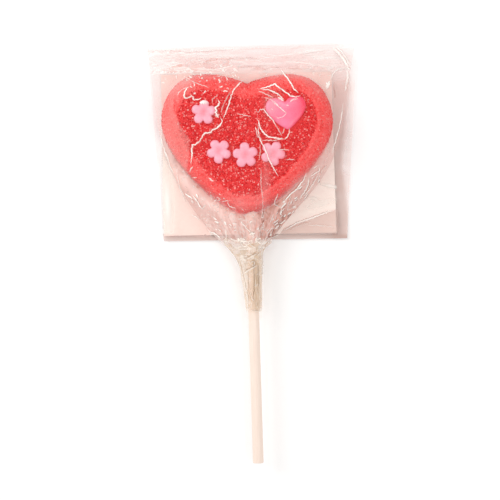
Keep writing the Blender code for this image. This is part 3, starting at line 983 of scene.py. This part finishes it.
# In mm: the height that is taken where no card lies under a wing, and the gap over the card.
CARD_TOP = 1.2
OVER_CARD = 0.3
x, y = quad_places(((-31.6, -35.2), (-13.5, -35.4), (-25.5, -9.0), (-32.7, 2.0)), 50, 60)
painted_window_reflection = patch(x, y, (-30.3, -22.0), (2.1, 14.0), 3) * smoothstep(-35.0, -33.0, y)
card_tree = surface_tree([card])
z = heights(card_tree, x, y, CARD_TOP) + OVER_CARD + 0.06 * wander(x, y, 12.0, 12)
haze = 0.24 + 0.06 * wander(x, y, 10.0, 13)
left_wing = film_sheet("film_left_wing", x, y, z, haze, 0.95 * painted_window_reflection, 0.32 + 0 * x)

x, y = quad_places(((12.5, -34.0), (34.6, -34.0), (33.7, -9.0), (27.5, -11.0)), 60, 60)
doubled = smoothstep(-0.5, 0.5, -24.9 - (33.0 - x) * 0.36 - y)
# Painted glare on the right wing.
glare = 0.9 * patch(x, y, (31.2, -15.8), (3.6, 0.7), -12)
glare = glare + 0.6 * patch(x, y, (25.0, -20.5), (1.8, 0.8), -8)
glare = glare + 0.5 * patch(x, y, (28.0, -22.5), (7.0, 1.6), 18)
z = heights(card_tree, x, y, CARD_TOP) + OVER_CARD + 0.12 * doubled + 0.06 * wander(x, y, 12.0, 14)
haze = 0.05 + 0.38 * doubled + 0.04 * wander(x, y, 10.0, 15)
right_wing = film_sheet("film_right_wing", x, y, z, haze, glare, 0.05 + 0.45 * doubled, shaded_film)


# The neck: the film's gathered end, many layers wound tight round the stick in slanting folds.

wound_film = film_material(
    "wound_film",
    (
        (0.0, (0.98, 0.86, 0.76)),
        (0.4, (0.80, 0.60, 0.43)),
        (0.75, (0.50, 0.34, 0.20)),
        (1.0, (0.26, 0.16, 0.10)),
    ),
    (1.0, 0.93, 0.84),
    0.7,
)
NECK_COLUMNS, NECK_ROWS = 160, 160
# Places in mm: the ends of the neck, a point of the stick's axis, where the cone runs out, and the
# radius at which the film is wound.
NECK_TOP, NECK_END = -35.6, -67.0
AXIS_X, AXIS_Y, AXIS_LEAN = 1.4, -27.4, math.radians(1.75)
CONE_END = -37.5
WOUND = 2.55

turn, up = np.meshgrid(np.linspace(2 * math.pi, 0, NECK_COLUMNS), np.linspace(0, 1, NECK_ROWS))
ragged = 0.5 + 0.3 * np.sin(2 * turn + 1.0) + 0.2 * np.sin(5 * turn)
axis_y = NECK_END + (NECK_TOP - NECK_END) * up + 1.3 * ragged * (1 - up) ** 8
share = np.clip((axis_y - CONE_END) / (NECK_END - CONE_END), 0, 1)
axis_x = AXIS_X - (axis_y - AXIS_Y) * math.tan(AXIS_LEAN)
left = WOUND + 2.6 * (1 - share) ** 1.2 + 4.4 * np.exp(-((share / 0.16) ** 1.5))
right = WOUND + 1.1 * (1 - share) ** 0.5 + 3.0 * np.exp(-((share / 0.06) ** 1.3))
over = WOUND + 1.1 * np.exp(-share / 0.30)
low = WOUND + 2.4 * np.exp(-share / 0.15)
fold = np.sin(7 * turn + 9.0 * share) * 0.5 + np.sin(16 * turn - 14.0 * share + 1.0) * 0.3
fold = fold + 0.25 * np.sin(29 * turn + 22.0 * share + 0.6)
swell = 1 + (0.10 * (1 - share) + 0.045) * (0.5 + 0.5 * fold)
x = axis_x + np.cos(turn) * np.where(np.cos(turn) > 0, right, left) * swell
z = STICK_Z + np.sin(turn) * np.where(np.sin(turn) > 0, over, low) * swell
tight = smoothstep(0.03, 0.3, share) * smoothstep(1.0, 0.84, share)
# Painted shade: the film is hazier and darker in a column right of the neck's middle, where it is
# wound tight.
shaded = patch(np.cos(turn), 0 * turn, (0.35, 0.0), (0.45, 1.0))
haze = 0.34 + 0.30 * tight * shaded + 0.08 * fold * (0.3 + 0.7 * tight)
frayed = share + 0.03 * ragged
haze = haze * (1 - 0.90 * smoothstep(0.82, 0.91, frayed))
haze = haze * (0.25 + 0.75 * smoothstep(-35.6, -38.6, axis_y))
tint_and_painted_light = 0.31 - 0.20 * smoothstep(0.2, 0.0, share) + 0.30 * tight * shaded
tint_and_painted_light = tint_and_painted_light + 0.06 * wander(turn * 3.0, axis_y, 6.0, 44)
crinkle = (0.35 + 0.6 * smoothstep(0.28, 0.05, share)) * smoothstep(0.88, 0.82, share)
along = np.where(axis_y > -50.0, 0.9 * axis_y, 0.3 * axis_y - 30.0)
flow = (3.2 * np.cos(turn), 3.2 * np.sin(turn), along)
neck = film_sheet(
    "film_neck_gather", x, axis_y, z, haze, 0 * haze, tint_and_painted_light, wound_film, crinkle, flow
)
merge_points(neck, 1e-7)
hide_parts("film_neck")


# The creases: stiff film folds in thin sharp ridges. Each ridge is a ribbon on the film with a
# painted highlight, white where it would catch the light, and a painted shadow along one side.
# Long ones run where the photo has them, and fine ones are scattered as the film is strained:
# level at the top and towards the neck below.


class Creases:
    """Gathers ribbons over a surface, and makes one mesh of them.

    A ribbon's points lie at some offsets from its path, in widths, each with its share of white,
    the painted highlight, and dark, the painted shadow. The rest is in mm: the steps of a path, the
    cells that note which places are taken, and how far a ribbon lies over the film and its ridge
    over that.
    """

    OFFSETS = (-0.95, -0.45, 0.0, 0.45, 0.75, 1.05, 1.5)
    WHITE = (0.0, 0.85, 1.0, 0.85, 0.0, 0.0, 0.0)
    DARK = (0.0, 0.0, 0.0, 0.5, 1.0, 0.8, 0.0)
    STEP, SCATTER_STEP, WHITE_STEP = 0.45, 0.6, 1.5
    CELL = 0.5
    OVER_FILM, RIDGE = 0.04, 0.06

    def __init__(self, tree, seed):
        self.tree = tree
        self.rng = np.random.RandomState(seed)
        self.points, self.faces, self.taken = [], [], set()
        self.haze, self.crease, self.tint_and_painted_light = [], [], []

    def add(self, path, width, white, dark, jag, tint_and_painted_light=0.9, crossing=True):
        """A ribbon along a path in mm, tapered at both ends and a little ragged.

        It ends where the film ends and, unless it may cross, where it meets an earlier one.
        """
        path = np.array(path, float)
        steps = np.hypot(*np.diff(path, axis=0).T)
        length = np.concatenate([[0], np.cumsum(steps)])
        count = max(4, int(length[-1] / self.STEP) + 1)
        at = np.linspace(0, length[-1], count)
        x, y = np.interp(at, length, path[:, 0]), np.interp(at, length, path[:, 1])
        dx, dy = np.gradient(x), np.gradient(y)
        size = np.maximum(np.hypot(dx, dy), 1e-6)
        across_x, across_y = -dy / size, dx / size
        ragged = jag * self.rng.normal(size=count)
        x, y = x + across_x * ragged, y + across_y * ragged
        ends = np.minimum(at, length[-1] - at) / max(0.6, 0.18 * length[-1])
        taper = np.clip(ends, 0.05, 1) ** 0.6
        wide = width * taper * (0.7 + 0.6 * self.rng.rand(count))
        knots = np.arange(0, length[-1] + 3, self.WHITE_STEP)
        uneven = np.interp(at, knots, self.rng.normal(size=len(knots)))
        lit = white * np.clip(0.95 + 0.25 * uneven, 0.4, 1)
        start = len(self.points)
        surface = heights(self.tree, x, y, np.nan)
        stops = np.isnan(surface)
        if not crossing:
            stops |= [cell in self.taken for cell in self.cells(x, y)]
        if stops.any():
            count = np.flatnonzero(stops)[0]
        if count < 3:
            return
        for offset in (-0.5, 0.3, 1.1):
            near_x, near_y = x + across_x * offset * wide, y + across_y * offset * wide
            self.taken.update(self.cells(near_x[:count], near_y[:count]))
        offsets = np.array(self.OFFSETS)
        side_x = x[:, None] + (across_x * wide)[:, None] * offsets
        side_y = y[:, None] + (across_y * wide)[:, None] * offsets
        side_z = heights(self.tree, side_x[:count], side_y[:count], np.nan)
        side_z = np.where(np.isnan(side_z), surface[:count, None], side_z)
        side_z = 0.4 * side_z + 0.6 * side_z.max(axis=1, keepdims=True) + self.OVER_FILM
        for i in range(count):
            for j, (offset, w, d) in enumerate(zip(self.OFFSETS, self.WHITE, self.DARK)):
                rise = self.RIDGE if offset == 0 else 0.0
                self.points.append((side_x[i, j], side_y[i, j], side_z[i, j] + rise))
                self.crease.append(lit[i] * w)
                self.haze.append(dark * d * taper[i])
                self.tint_and_painted_light.append(tint_and_painted_light)
        columns = len(self.OFFSETS)
        for i in range(count - 1):
            for j in range(columns - 1):
                a = start + i * columns + j
                self.faces.append((a, a + columns, a + columns + 1, a + 1))

    def cells(self, x, y):
        """The cells in which these places lie."""
        return list(zip(*(np.floor(side / self.CELL).astype(int) for side in (x, y))))

    def scatter(self, count, place, heading, lengths, widths, whites, darks, wiggle, tint_and_painted_light):
        """Ribbons from random places, each led on by the heading there, in radians."""
        for _ in range(count):
            x, y = place(self.rng)
            turn = self.rng.normal() * wiggle * 1.5
            path = [(x, y)]
            for _ in range(max(3, int(self.rng.uniform(*lengths) / self.SCATTER_STEP))):
                turn += self.rng.normal() * wiggle
                way = heading(x, y) + turn
                x += self.SCATTER_STEP * math.cos(way)
                y += self.SCATTER_STEP * math.sin(way)
                path.append((x, y))
            width, white, dark = (self.rng.uniform(*span) for span in (widths, whites, darks))
            self.add(path, width, white, dark, 0.05, tint_and_painted_light, crossing=False)

    def build(self, name, mat):
        """Makes the piece from all the ribbons that were added."""
        mesh = bpy.data.meshes.new(name)
        mesh.from_pydata((np.array(self.points) * MM).tolist(), [], self.faces)
        obj = new_object(name, mesh)
        for field, values in (("haze", self.haze), ("crease", self.crease), ("tint_and_painted_light", self.tint_and_painted_light)):
            store(obj, field, values)
        select_only(obj)
        bpy.ops.object.shade_smooth()
        mesh.materials.append(mat)
        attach(obj, "root")


# How white each long crease's painted highlight is, how dark its painted shadow beside it, its
# width and the places it runs by, in mm.
LONG_CREASES = (
    # Over the candy's left half.
    (0.7, 0.2, 0.3, ((-25.9, 17.2), (-25.5, 18.4), (-24.8, 19.3), (-23.2, 20.1), (-21.8, 20.6))),
    (1.0, 0.5, 0.46, ((-21.8, 20.8), (-22.9, 19.1), (-23.4, 17.6), (-23.3, 16.5), (-22.1, 16.3),
        (-21.2, 16.9), (-20.8, 17.4), (-20.2, 16.7), (-19.7, 15.6), (-18.4, 15.8),
        (-16.9, 16.3))),
    (1.0, 0.4, 0.55, ((-10.9, 15.8), (-10.3, 14.6), (-10.9, 13.3), (-11.8, 12.8), (-11.2, 11.6),
        (-11.6, 10.9), (-10.6, 8.8))),
    (0.95, 0.2, 0.9, ((-11.6, 10.5), (-11.1, 9.8), (-10.7, 9.0))),
    (0.9, 0.4, 0.45, ((-0.8, 23.6), (-2.6, 22.1), (-4.1, 20.6), (-5.2, 19.1), (-5.8, 17.2),
        (-6.4, 15.4), (-6.9, 13.5), (-7.7, 11.6), (-8.8, 8.6))),
    (0.45, 0.4, 0.34, ((-6.0, 18.8), (-7.1, 17.2), (-8.1, 15.4), (-9.0, 13.1), (-9.6, 10.9))),
    (1.0, 0.5, 0.5, ((-9.9, 9.0), (-9.0, 7.7), (-9.8, 6.4), (-10.9, 5.2), (-12.8, 4.3),
        (-13.5, 3.4), (-15.8, 3.2), (-16.5, 2.2), (-17.1, 1.1), (-17.8, 0.0), (-19.5, -1.1),
        (-20.4, -0.8), (-20.4, -2.2), (-20.5, -4.5), (-20.6, -6.8), (-20.9, -8.2))),
    (0.8, 0.4, 0.36, ((-20.2, -9.0), (-21.0, -10.1), (-21.2, -11.2))),
    (0.6, 0.4, 0.28, ((-21.4, 23.2), (-19.1, 22.1), (-17.2, 21.4), (-14.2, 20.4))),
    (0.5, 0.3, 0.3, ((-12.8, 14.2), (-12.8, 15.8), (-11.6, 16.9), (-10.5, 18.0))),
    (0.9, 0.2, 0.5, ((-9.0, 18.8), (-8.1, 19.1), (-7.1, 18.9))),
    # Glints on the icing heart and beside it.
    (0.85, 0.0, 0.55, ((11.3, 16.5), (12.4, 15.9), (13.5, 15.3))),
    (0.6, 0.0, 0.6, ((15.9, 14.9), (16.6, 15.6), (17.8, 15.8), (18.9, 16.1))),
    (0.7, 0.0, 0.42, ((9.6, 15.5), (11.0, 13.9), (12.6, 12.4), (14.3, 10.8))),
    (0.6, 0.0, 0.7, ((14.4, 13.6), (15.0, 13.6), (15.5, 13.4))),
    (0.5, 0.0, 0.6, ((8.8, 12.2), (9.2, 12.0), (9.8, 11.9))),
    (0.65, 0.3, 0.26, ((-3.8, 10.5), (-1.5, 9.9), (1.5, 9.4))),
    # Above the candy, on a blossom, round the icing heart and down the middle.
    (0.8, 0.3, 0.55, ((-10.9, 27.8), (-8.6, 28.1), (-6.8, 28.7), (-5.2, 29.1))),
    (1.0, 0.0, 1.1, ((-17.6, 14.6), (-16.0, 14.8), (-14.3, 14.4))),
    (1.0, 0.4, 0.44, ((12.8, 27.4), (14.2, 25.1), (15.8, 22.9), (17.2, 20.2), (19.1, 18.2))),
    (1.0, 0.4, 0.44, ((4.5, 19.7), (7.5, 20.6), (9.4, 21.2), (10.3, 21.8), (11.6, 20.6),
        (13.5, 19.1), (15.0, 18.0), (16.1, 17.1), (18.0, 16.7), (19.9, 17.4))),
    (0.9, 0.4, 0.42, ((5.2, 19.5), (7.9, 19.5), (9.4, 18.8), (11.2, 18.0), (12.4, 16.9),
        (13.8, 15.6))),
    (0.65, 0.4, 0.32, ((4.1, 19.1), (6.4, 18.2), (8.2, 17.2), (9.8, 16.5))),
    (0.55, 0.1, 0.28, ((5.2, 16.9), (6.8, 16.3), (9.0, 15.8), (10.1, 14.2), (11.6, 13.1),
        (13.5, 11.6), (14.6, 10.5), (13.5, 9.4), (11.6, 8.8), (10.1, 9.8))),
    (0.75, 0.4, 0.36, ((3.4, 12.0), (3.6, 11.1), (4.3, 11.1), (4.9, 12.0), (6.0, 12.2),
        (7.1, 10.9), (8.2, 9.4), (9.4, 8.2), (10.5, 6.4), (11.6, 4.5), (12.9, 2.2))),
    (0.9, 0.5, 0.44, ((3.8, 8.6), (4.3, 7.1), (4.9, 5.2), (5.6, 4.1), (6.4, 3.0), (7.9, 1.9),
        (9.8, 1.5), (12.0, 1.1), (14.2, 1.1))),
    (0.8, 0.4, 0.36, ((15.6, 4.9), (15.8, 3.4), (14.8, 1.7), (13.9, 0.9))),
    (0.45, 0.3, 0.3, ((12.8, 2.6), (13.5, 4.1), (13.9, 5.2))),
    (0.6, 0.4, 0.36, ((3.0, 5.6), (3.6, 3.8), (3.8, 1.5))),
    (0.6, 0.3, 0.3, ((5.6, 0.4), (7.9, 0.6), (10.5, 0.6), (13.9, 1.1))),
    (0.85, 0.4, 0.42, ((4.1, 6.8), (4.1, 4.5), (4.5, 1.9), (5.2, 0.0), (6.4, -2.2), (7.5, -4.9),
        (8.6, -7.5), (10.1, -10.1), (11.6, -12.8))),
    (0.4, 0.6, 0.3, ((4.7, -0.8), (4.9, -3.4), (4.5, -6.4))),
    (0.45, 0.3, 0.3, ((5.1, -9.4), (5.2, -15.8), (5.8, -21.4), (6.0, -25.9))),
    (0.75, 0.3, 0.34, ((11.6, -3.0), (13.5, -2.8), (15.8, -3.0))),
    (0.55, 0.3, 0.3, ((14.2, -6.6), (15.8, -6.4), (17.6, -6.6))),
    # Beside and below the candy on the left.
    (1.0, 0.2, 0.62, ((-14.4, -13.3), (-13.5, -13.9), (-12.4, -14.6))),
    (0.9, 0.12, 0.46, ((-32.6, 3.4), (-32.1, 0.0), (-31.1, -2.6), (-30.0, -5.2), (-29.1, -8.2),
        (-27.8, -11.2))),
    (0.8, 0.12, 0.36, ((-31.5, -1.9), (-30.4, -5.2), (-29.6, -7.5))),
    (0.45, 0.12, 0.46, ((-26.6, -9.4), (-26.2, -13.1), (-25.5, -16.1), (-24.4, -18.8),
        (-23.1, -21.8))),
    (0.9, 0.4, 0.44, ((-20.6, -19.5), (-19.5, -20.8), (-18.4, -22.5), (-16.9, -24.8))),
    (0.55, 0.2, 0.44, ((-16.9, -24.8), (-16.1, -23.8), (-15.4, -23.1))),
    (0.9, 0.3, 0.42, ((-20.8, -26.8), (-19.5, -27.6), (-17.8, -28.7))),
    (0.6, 0.5, 0.28, ((-12.0, -20.8), (-10.9, -20.6), (-9.8, -21.2), (-10.1, -21.6),
        (-11.2, -21.5))),
    (0.65, 0.5, 0.28, ((-9.4, -22.1), (-7.9, -21.8), (-7.1, -21.5), (-7.3, -22.5), (-6.8, -23.6),
        (-5.2, -24.4), (-4.1, -24.8))),
    (0.85, 0.4, 0.38, ((-2.6, -29.2), (-1.5, -30.6), (0.0, -32.2), (1.3, -33.6))),
    (0.85, 0.4, 0.52, ((-14.2, -33.4), (-12.4, -33.8), (-10.9, -34.9), (-9.8, -36.0))),
    # Below it on the right, and over the right wing.
    (0.95, 0.8, 0.42, ((13.5, -22.1), (15.0, -20.6), (16.5, -19.1), (18.4, -17.4), (19.5, -16.1),
        (21.0, -14.1), (22.1, -11.6))),
    (1.0, 0.9, 0.48, ((22.9, -12.9), (23.2, -14.2), (22.9, -15.8), (22.1, -17.6), (21.0, -19.1),
        (20.1, -20.8))),
    (0.8, 0.7, 0.34, ((20.4, -20.6), (21.8, -19.3), (23.2, -17.6), (24.4, -15.8), (25.5, -13.9),
        (26.6, -12.0), (27.2, -10.5))),
    (0.8, 0.6, 0.38, ((23.6, -12.8), (25.1, -11.6), (26.4, -10.9), (27.2, -10.3), (27.0, -9.0))),
    (0.4, 0.8, 0.34, ((27.8, -11.6), (28.1, -10.3), (28.9, -9.4), (30.0, -8.1))),
    (1.0, 0.5, 0.8, ((13.3, -22.3), (14.1, -21.6))),
    (1.0, 0.5, 0.85, ((17.2, -24.4), (18.2, -23.2))),
    (0.7, 0.6, 0.32, ((11.6, -19.1), (10.9, -20.6), (10.3, -22.1), (10.5, -23.2), (12.0, -23.8),
        (12.8, -23.2))),
    (1.0, 1.0, 0.44, ((10.2, -31.0), (11.7, -29.7))),
    (1.0, 1.0, 0.58, ((10.2, -32.4), (12.2, -30.8))),
    (1.0, 0.6, 0.85, ((8.5, -34.8), (9.2, -34.2))),
    (0.6, 0.8, 0.34, ((7.1, -36.4), (9.4, -35.4), (12.0, -34.3))),
    (0.85, 0.5, 0.46, ((13.5, -33.0), (16.9, -31.1), (19.9, -29.4), (22.9, -28.5), (26.6, -27.2),
        (29.6, -26.1), (32.6, -25.1))),
    (0.15, 0.4, 0.5, ((15.0, -33.2), (18.4, -31.4), (21.8, -30.1), (24.8, -29.6))),
    (0.45, 0.2, 0.4, ((22.9, -30.8), (27.4, -30.8), (33.0, -31.5))),
    # The right corner and edge of the sheet.
    (1.0, 0.3, 0.78, ((32.2, 36.4), (33.8, 35.1), (35.2, 33.4), (36.8, 31.1), (38.4, 28.5))),
    (0.9, 0.2, 0.5, ((33.8, 36.6), (35.6, 34.9), (37.1, 32.6), (38.8, 29.8))),
    (0.1, 0.4, 0.4, ((32.4, 35.2), (34.5, 32.8), (36.2, 30.6), (37.1, 29.2))),
    (0.85, 0.3, 0.46, ((38.2, 28.7), (36.8, 28.5), (34.9, 28.1), (33.4, 27.4), (32.2, 25.9),
        (31.5, 23.8))),
    (0.8, 0.3, 0.66, ((37.5, 28.1), (38.1, 26.2), (37.9, 24.0), (37.3, 22.1), (37.1, 19.9))),
    (1.0, 0.2, 1.0, ((31.1, 23.2), (30.4, 21.8), (29.7, 20.1))),
    (0.9, 0.2, 0.6, ((29.4, 22.7), (30.4, 21.6))),
    (0.0, 0.6, 0.5, ((32.2, 22.5), (32.5, 19.5), (32.6, 16.5))),
    (0.85, 0.4, 0.42, ((36.2, 15.4), (35.8, 11.6), (35.2, 7.9), (34.3, 4.5), (33.6, 1.9),
        (32.6, -1.5), (31.9, -4.1))),
    (0.9, 0.5, 0.9, ((37.9, 28.9), (38.8, 27.9))),
    # Level folds along the top.
    (0.1, 0.4, 0.6, ((-10.1, 30.9), (-4.5, 31.5), (1.1, 31.7), (6.0, 30.8))),
    (0.1, 0.45, 0.42, ((-4.9, 28.1), (-0.8, 28.1), (3.4, 28.5), (9.0, 28.7))),
    (0.2, 0.35, 0.42, ((5.6, 26.6), (8.6, 27.8), (13.1, 28.1))),
    (0.15, 0.35, 0.5, ((13.9, 27.4), (19.9, 27.2), (25.9, 27.3))),
    (0.15, 0.3, 0.4, ((31.1, 35.4), (27.4, 35.1), (22.9, 34.3), (19.1, 33.4))),
    (0.0, 0.36, 0.4, ((-37.1, 34.9), (-28.9, 34.9), (-21.4, 34.3), (-15.8, 34.5), (-2.6, 35.6))),
    (0.0, 0.3, 0.4, ((-15.8, 36.9), (8.6, 37.3), (39.4, 37.6))),
)
everything = surface_tree([back_sheet, card, left_wing, right_wing, front_sheet, neck])
folds = Creases(everything, 77)
for white, dark, width, path in LONG_CREASES:
    folds.add(path, 0.8 * width, white, dark, jag=0.09)
folds.tree = surface_tree([front_sheet])


def inside_box(low, high):
    """Random places in a box in mm."""
    return lambda rng: (rng.uniform(low[0], high[0]), rng.uniform(low[1], high[1]))


def round_about(line, reach):
    """Random places about a line in mm."""

    def place(rng):
        i = rng.randint(len(line) - 1)
        t = rng.rand()
        dx, dy = rng.normal(size=2) * reach
        (ax, ay), (bx, by) = line[i], line[i + 1]
        return ax + (bx - ax) * t + dx, ay + (by - ay) * t + dy

    return place


def level(x, y):
    """A heading almost level to the right."""
    return 0.03


def to_neck(x, y):
    """The heading towards the neck's upper part."""
    return math.atan2(NECK_MIDDLE[1] + 6.0 - y, NECK_MIDDLE[0] - x)


def any_way(x, y):
    """A heading that differs from place to place."""
    return 7.3 * math.sin(x * 1.7 + y * 2.3)


top_band = inside_box((-35.0, 26.5), (36.0, 37.0))
cone_left = ((-27.5, -9.0), (-22.0, -18.5), (-13.0, -28.0), (-6.0, -35.5))
cone_right = ((27.0, -10.5), (20.0, -19.5), (13.0, -27.5), (8.5, -35.0))
# How many ribbons, from where and which way, then the least and most of their length, width,
# painted highlight and painted shadow, how much they wiggle, and their tint.
SCATTERED = (
    (26, inside_box((-25.0, 18.0), (-2.0, 27.0)), any_way,
        (1.0, 3.2), (0.26, 0.46), (0.8, 1.0), (0.0, 0.2), 0.45, 0.7),
    (30, top_band, level,
        (5.0, 24.0), (0.14, 0.3), (0.25, 0.8), (0.0, 0.06), 0.02, 0.6),
    (12, top_band, level,
        (6.0, 18.0), (0.3, 0.6), (0.0, 0.05), (0.12, 0.30), 0.02, 0.62),
    (80, inside_box((-33.0, 23.0), (0.0, 31.0)), any_way,
        (1.2, 4.5), (0.18, 0.34), (0.5, 1.0), (0.0, 0.35), 0.35, 0.75),
    (18, inside_box((0.0, 24.5), (33.0, 30.0)), any_way,
        (1.2, 4.0), (0.12, 0.22), (0.3, 0.8), (0.0, 0.2), 0.3, 0.7),
    (12, round_about(cone_left, 2.2), to_neck,
        (1.2, 4.0), (0.3, 0.5), (0.5, 1.0), (0.0, 0.3), 0.1, 0.7),
    (60, round_about(cone_left, 2.4), any_way,
        (0.8, 3.0), (0.14, 0.26), (0.4, 0.9), (0.1, 0.5), 0.3, 0.75),
    (28, round_about(cone_right, 1.2), to_neck,
        (0.8, 4.2), (0.22, 0.55), (0.8, 1.0), (0.8, 1.0), 0.12, 1.0),
    (55, round_about(cone_right, 1.5), to_neck,
        (1.2, 4.0), (0.16, 0.30), (0.5, 1.0), (0.6, 1.0), 0.14, 0.97),
    (46, round_about(((-9.0, -32.0), (8.0, -32.0)), 3.2), any_way,
        (0.8, 3.2), (0.2, 0.46), (0.4, 1.0), (0.2, 0.6), 0.35, 0.8),
    (30, round_about(((-13.0, -21.5), (-6.0, -25.5)), 1.6), any_way,
        (1.0, 3.0), (0.12, 0.2), (0.4, 0.9), (0.2, 0.6), 0.4, 0.9),
    (60, inside_box((-24.0, -20.0), (27.0, 22.0)), any_way,
        (0.8, 3.0), (0.09, 0.15), (0.15, 0.5), (0.0, 0.3), 0.4, 0.9),
)
for ribbons in SCATTERED:
    folds.scatter(*ribbons)
folds.build("film_creases", clear_film)

neck_folds = Creases(everything, 78)
NECK_CREASES = (
    (0.55, 0.6, 0.5, ((-1.1, -48.8), (1.1, -47.4), (3.6, -45.9))),
    (0.45, 0.6, 0.5, ((-0.4, -43.7), (1.5, -42.6), (3.8, -41.6))),
    (0.5, 0.2, 0.9, ((-2.4, -42.0), (-1.1, -43.9), (-0.4, -45.0))),
    (0.0, 0.8, 0.34, ((3.9, -44.2), (4.0, -48.4), (4.1, -55.1))),
    (0.0, 0.7, 0.36, ((2.1, -42.8), (2.3, -46.9), (2.4, -51.4), (2.3, -55.9), (2.2, -59.2))),
    (0.0, 0.5, 0.34, ((0.0, -46.9), (0.2, -50.6), (0.5, -55.1))),
    (0.6, 0.4, 0.34, ((1.3, -57.6), (2.1, -58.5), (2.6, -59.2))),
    (0.55, 0.4, 0.34, ((1.3, -45.4), (1.9, -44.4), (2.8, -44.6), (2.6, -45.8), (1.7, -46.1))),
    (0.35, 0.5, 0.34, ((5.4, -38.2), (5.6, -44.6), (5.6, -51.4), (5.6, -58.9), (5.5, -65.6))),
    (0.3, 0.5, 0.34, ((-3.2, -42.8), (-2.4, -46.9), (-1.3, -51.4), (-0.2, -55.9), (0.6, -60.8))),
    (0.8, 0.4, 0.6, ((0.8, -34.5), (1.9, -33.8), (2.6, -34.9))),
    (0.6, 0.3, 0.4, ((0.0, -36.8), (1.1, -37.9), (3.0, -39.4))),
    (0.2, 0.2, 0.34, ((0.0, -36.4), (-0.3, -40.1), (0.1, -44.6))),
    (0.25, 0.4, 0.3, ((0.8, -62.4), (3.0, -63.0), (5.6, -62.8))),
    (0.2, 0.7, 0.5, ((-7.9, -36.0), (-6.4, -35.8))),
)
for white, dark, width, path in NECK_CREASES:
    neck_folds.add(path, width, white, dark, jag=0.08)


def down_neck(x, y):
    """A heading down along the stick, a little aslant."""
    return math.radians(-88.0) + 0.35 * math.sin(x * 2.0 + y)


neck_line = ((0.8, -38.0), (2.2, -46.0), (3.0, -60.0))
shaded_line = ((1.9, -40.5), (2.4, -47.0), (3.2, -57.0))
NECK_SCATTERED = (
    (22, round_about(neck_line, 1.1), down_neck,
        (2.0, 6.0), (0.3, 0.6), (0.1, 0.35), (0.0, 0.3), 0.08, 0.9),
    (30, round_about(shaded_line, 0.55), any_way,
        (0.6, 1.6), (0.25, 0.5), (0.1, 0.5), (0.5, 0.9), 0.3, 0.9),
    (18, round_about(neck_line, 1.0), down_neck,
        (1.5, 5.0), (0.12, 0.22), (0.1, 0.5), (0.2, 0.7), 0.12, 0.9),
    (34, round_about(((-2.5, -36.0), (3.5, -42.0)), 1.6), any_way,
        (0.8, 2.5), (0.2, 0.4), (0.3, 0.9), (0.1, 0.5), 0.35, 0.9),
)
for ribbons in NECK_SCATTERED:
    neck_folds.scatter(*ribbons)
neck_folds.build("neck_creases", wound_film)
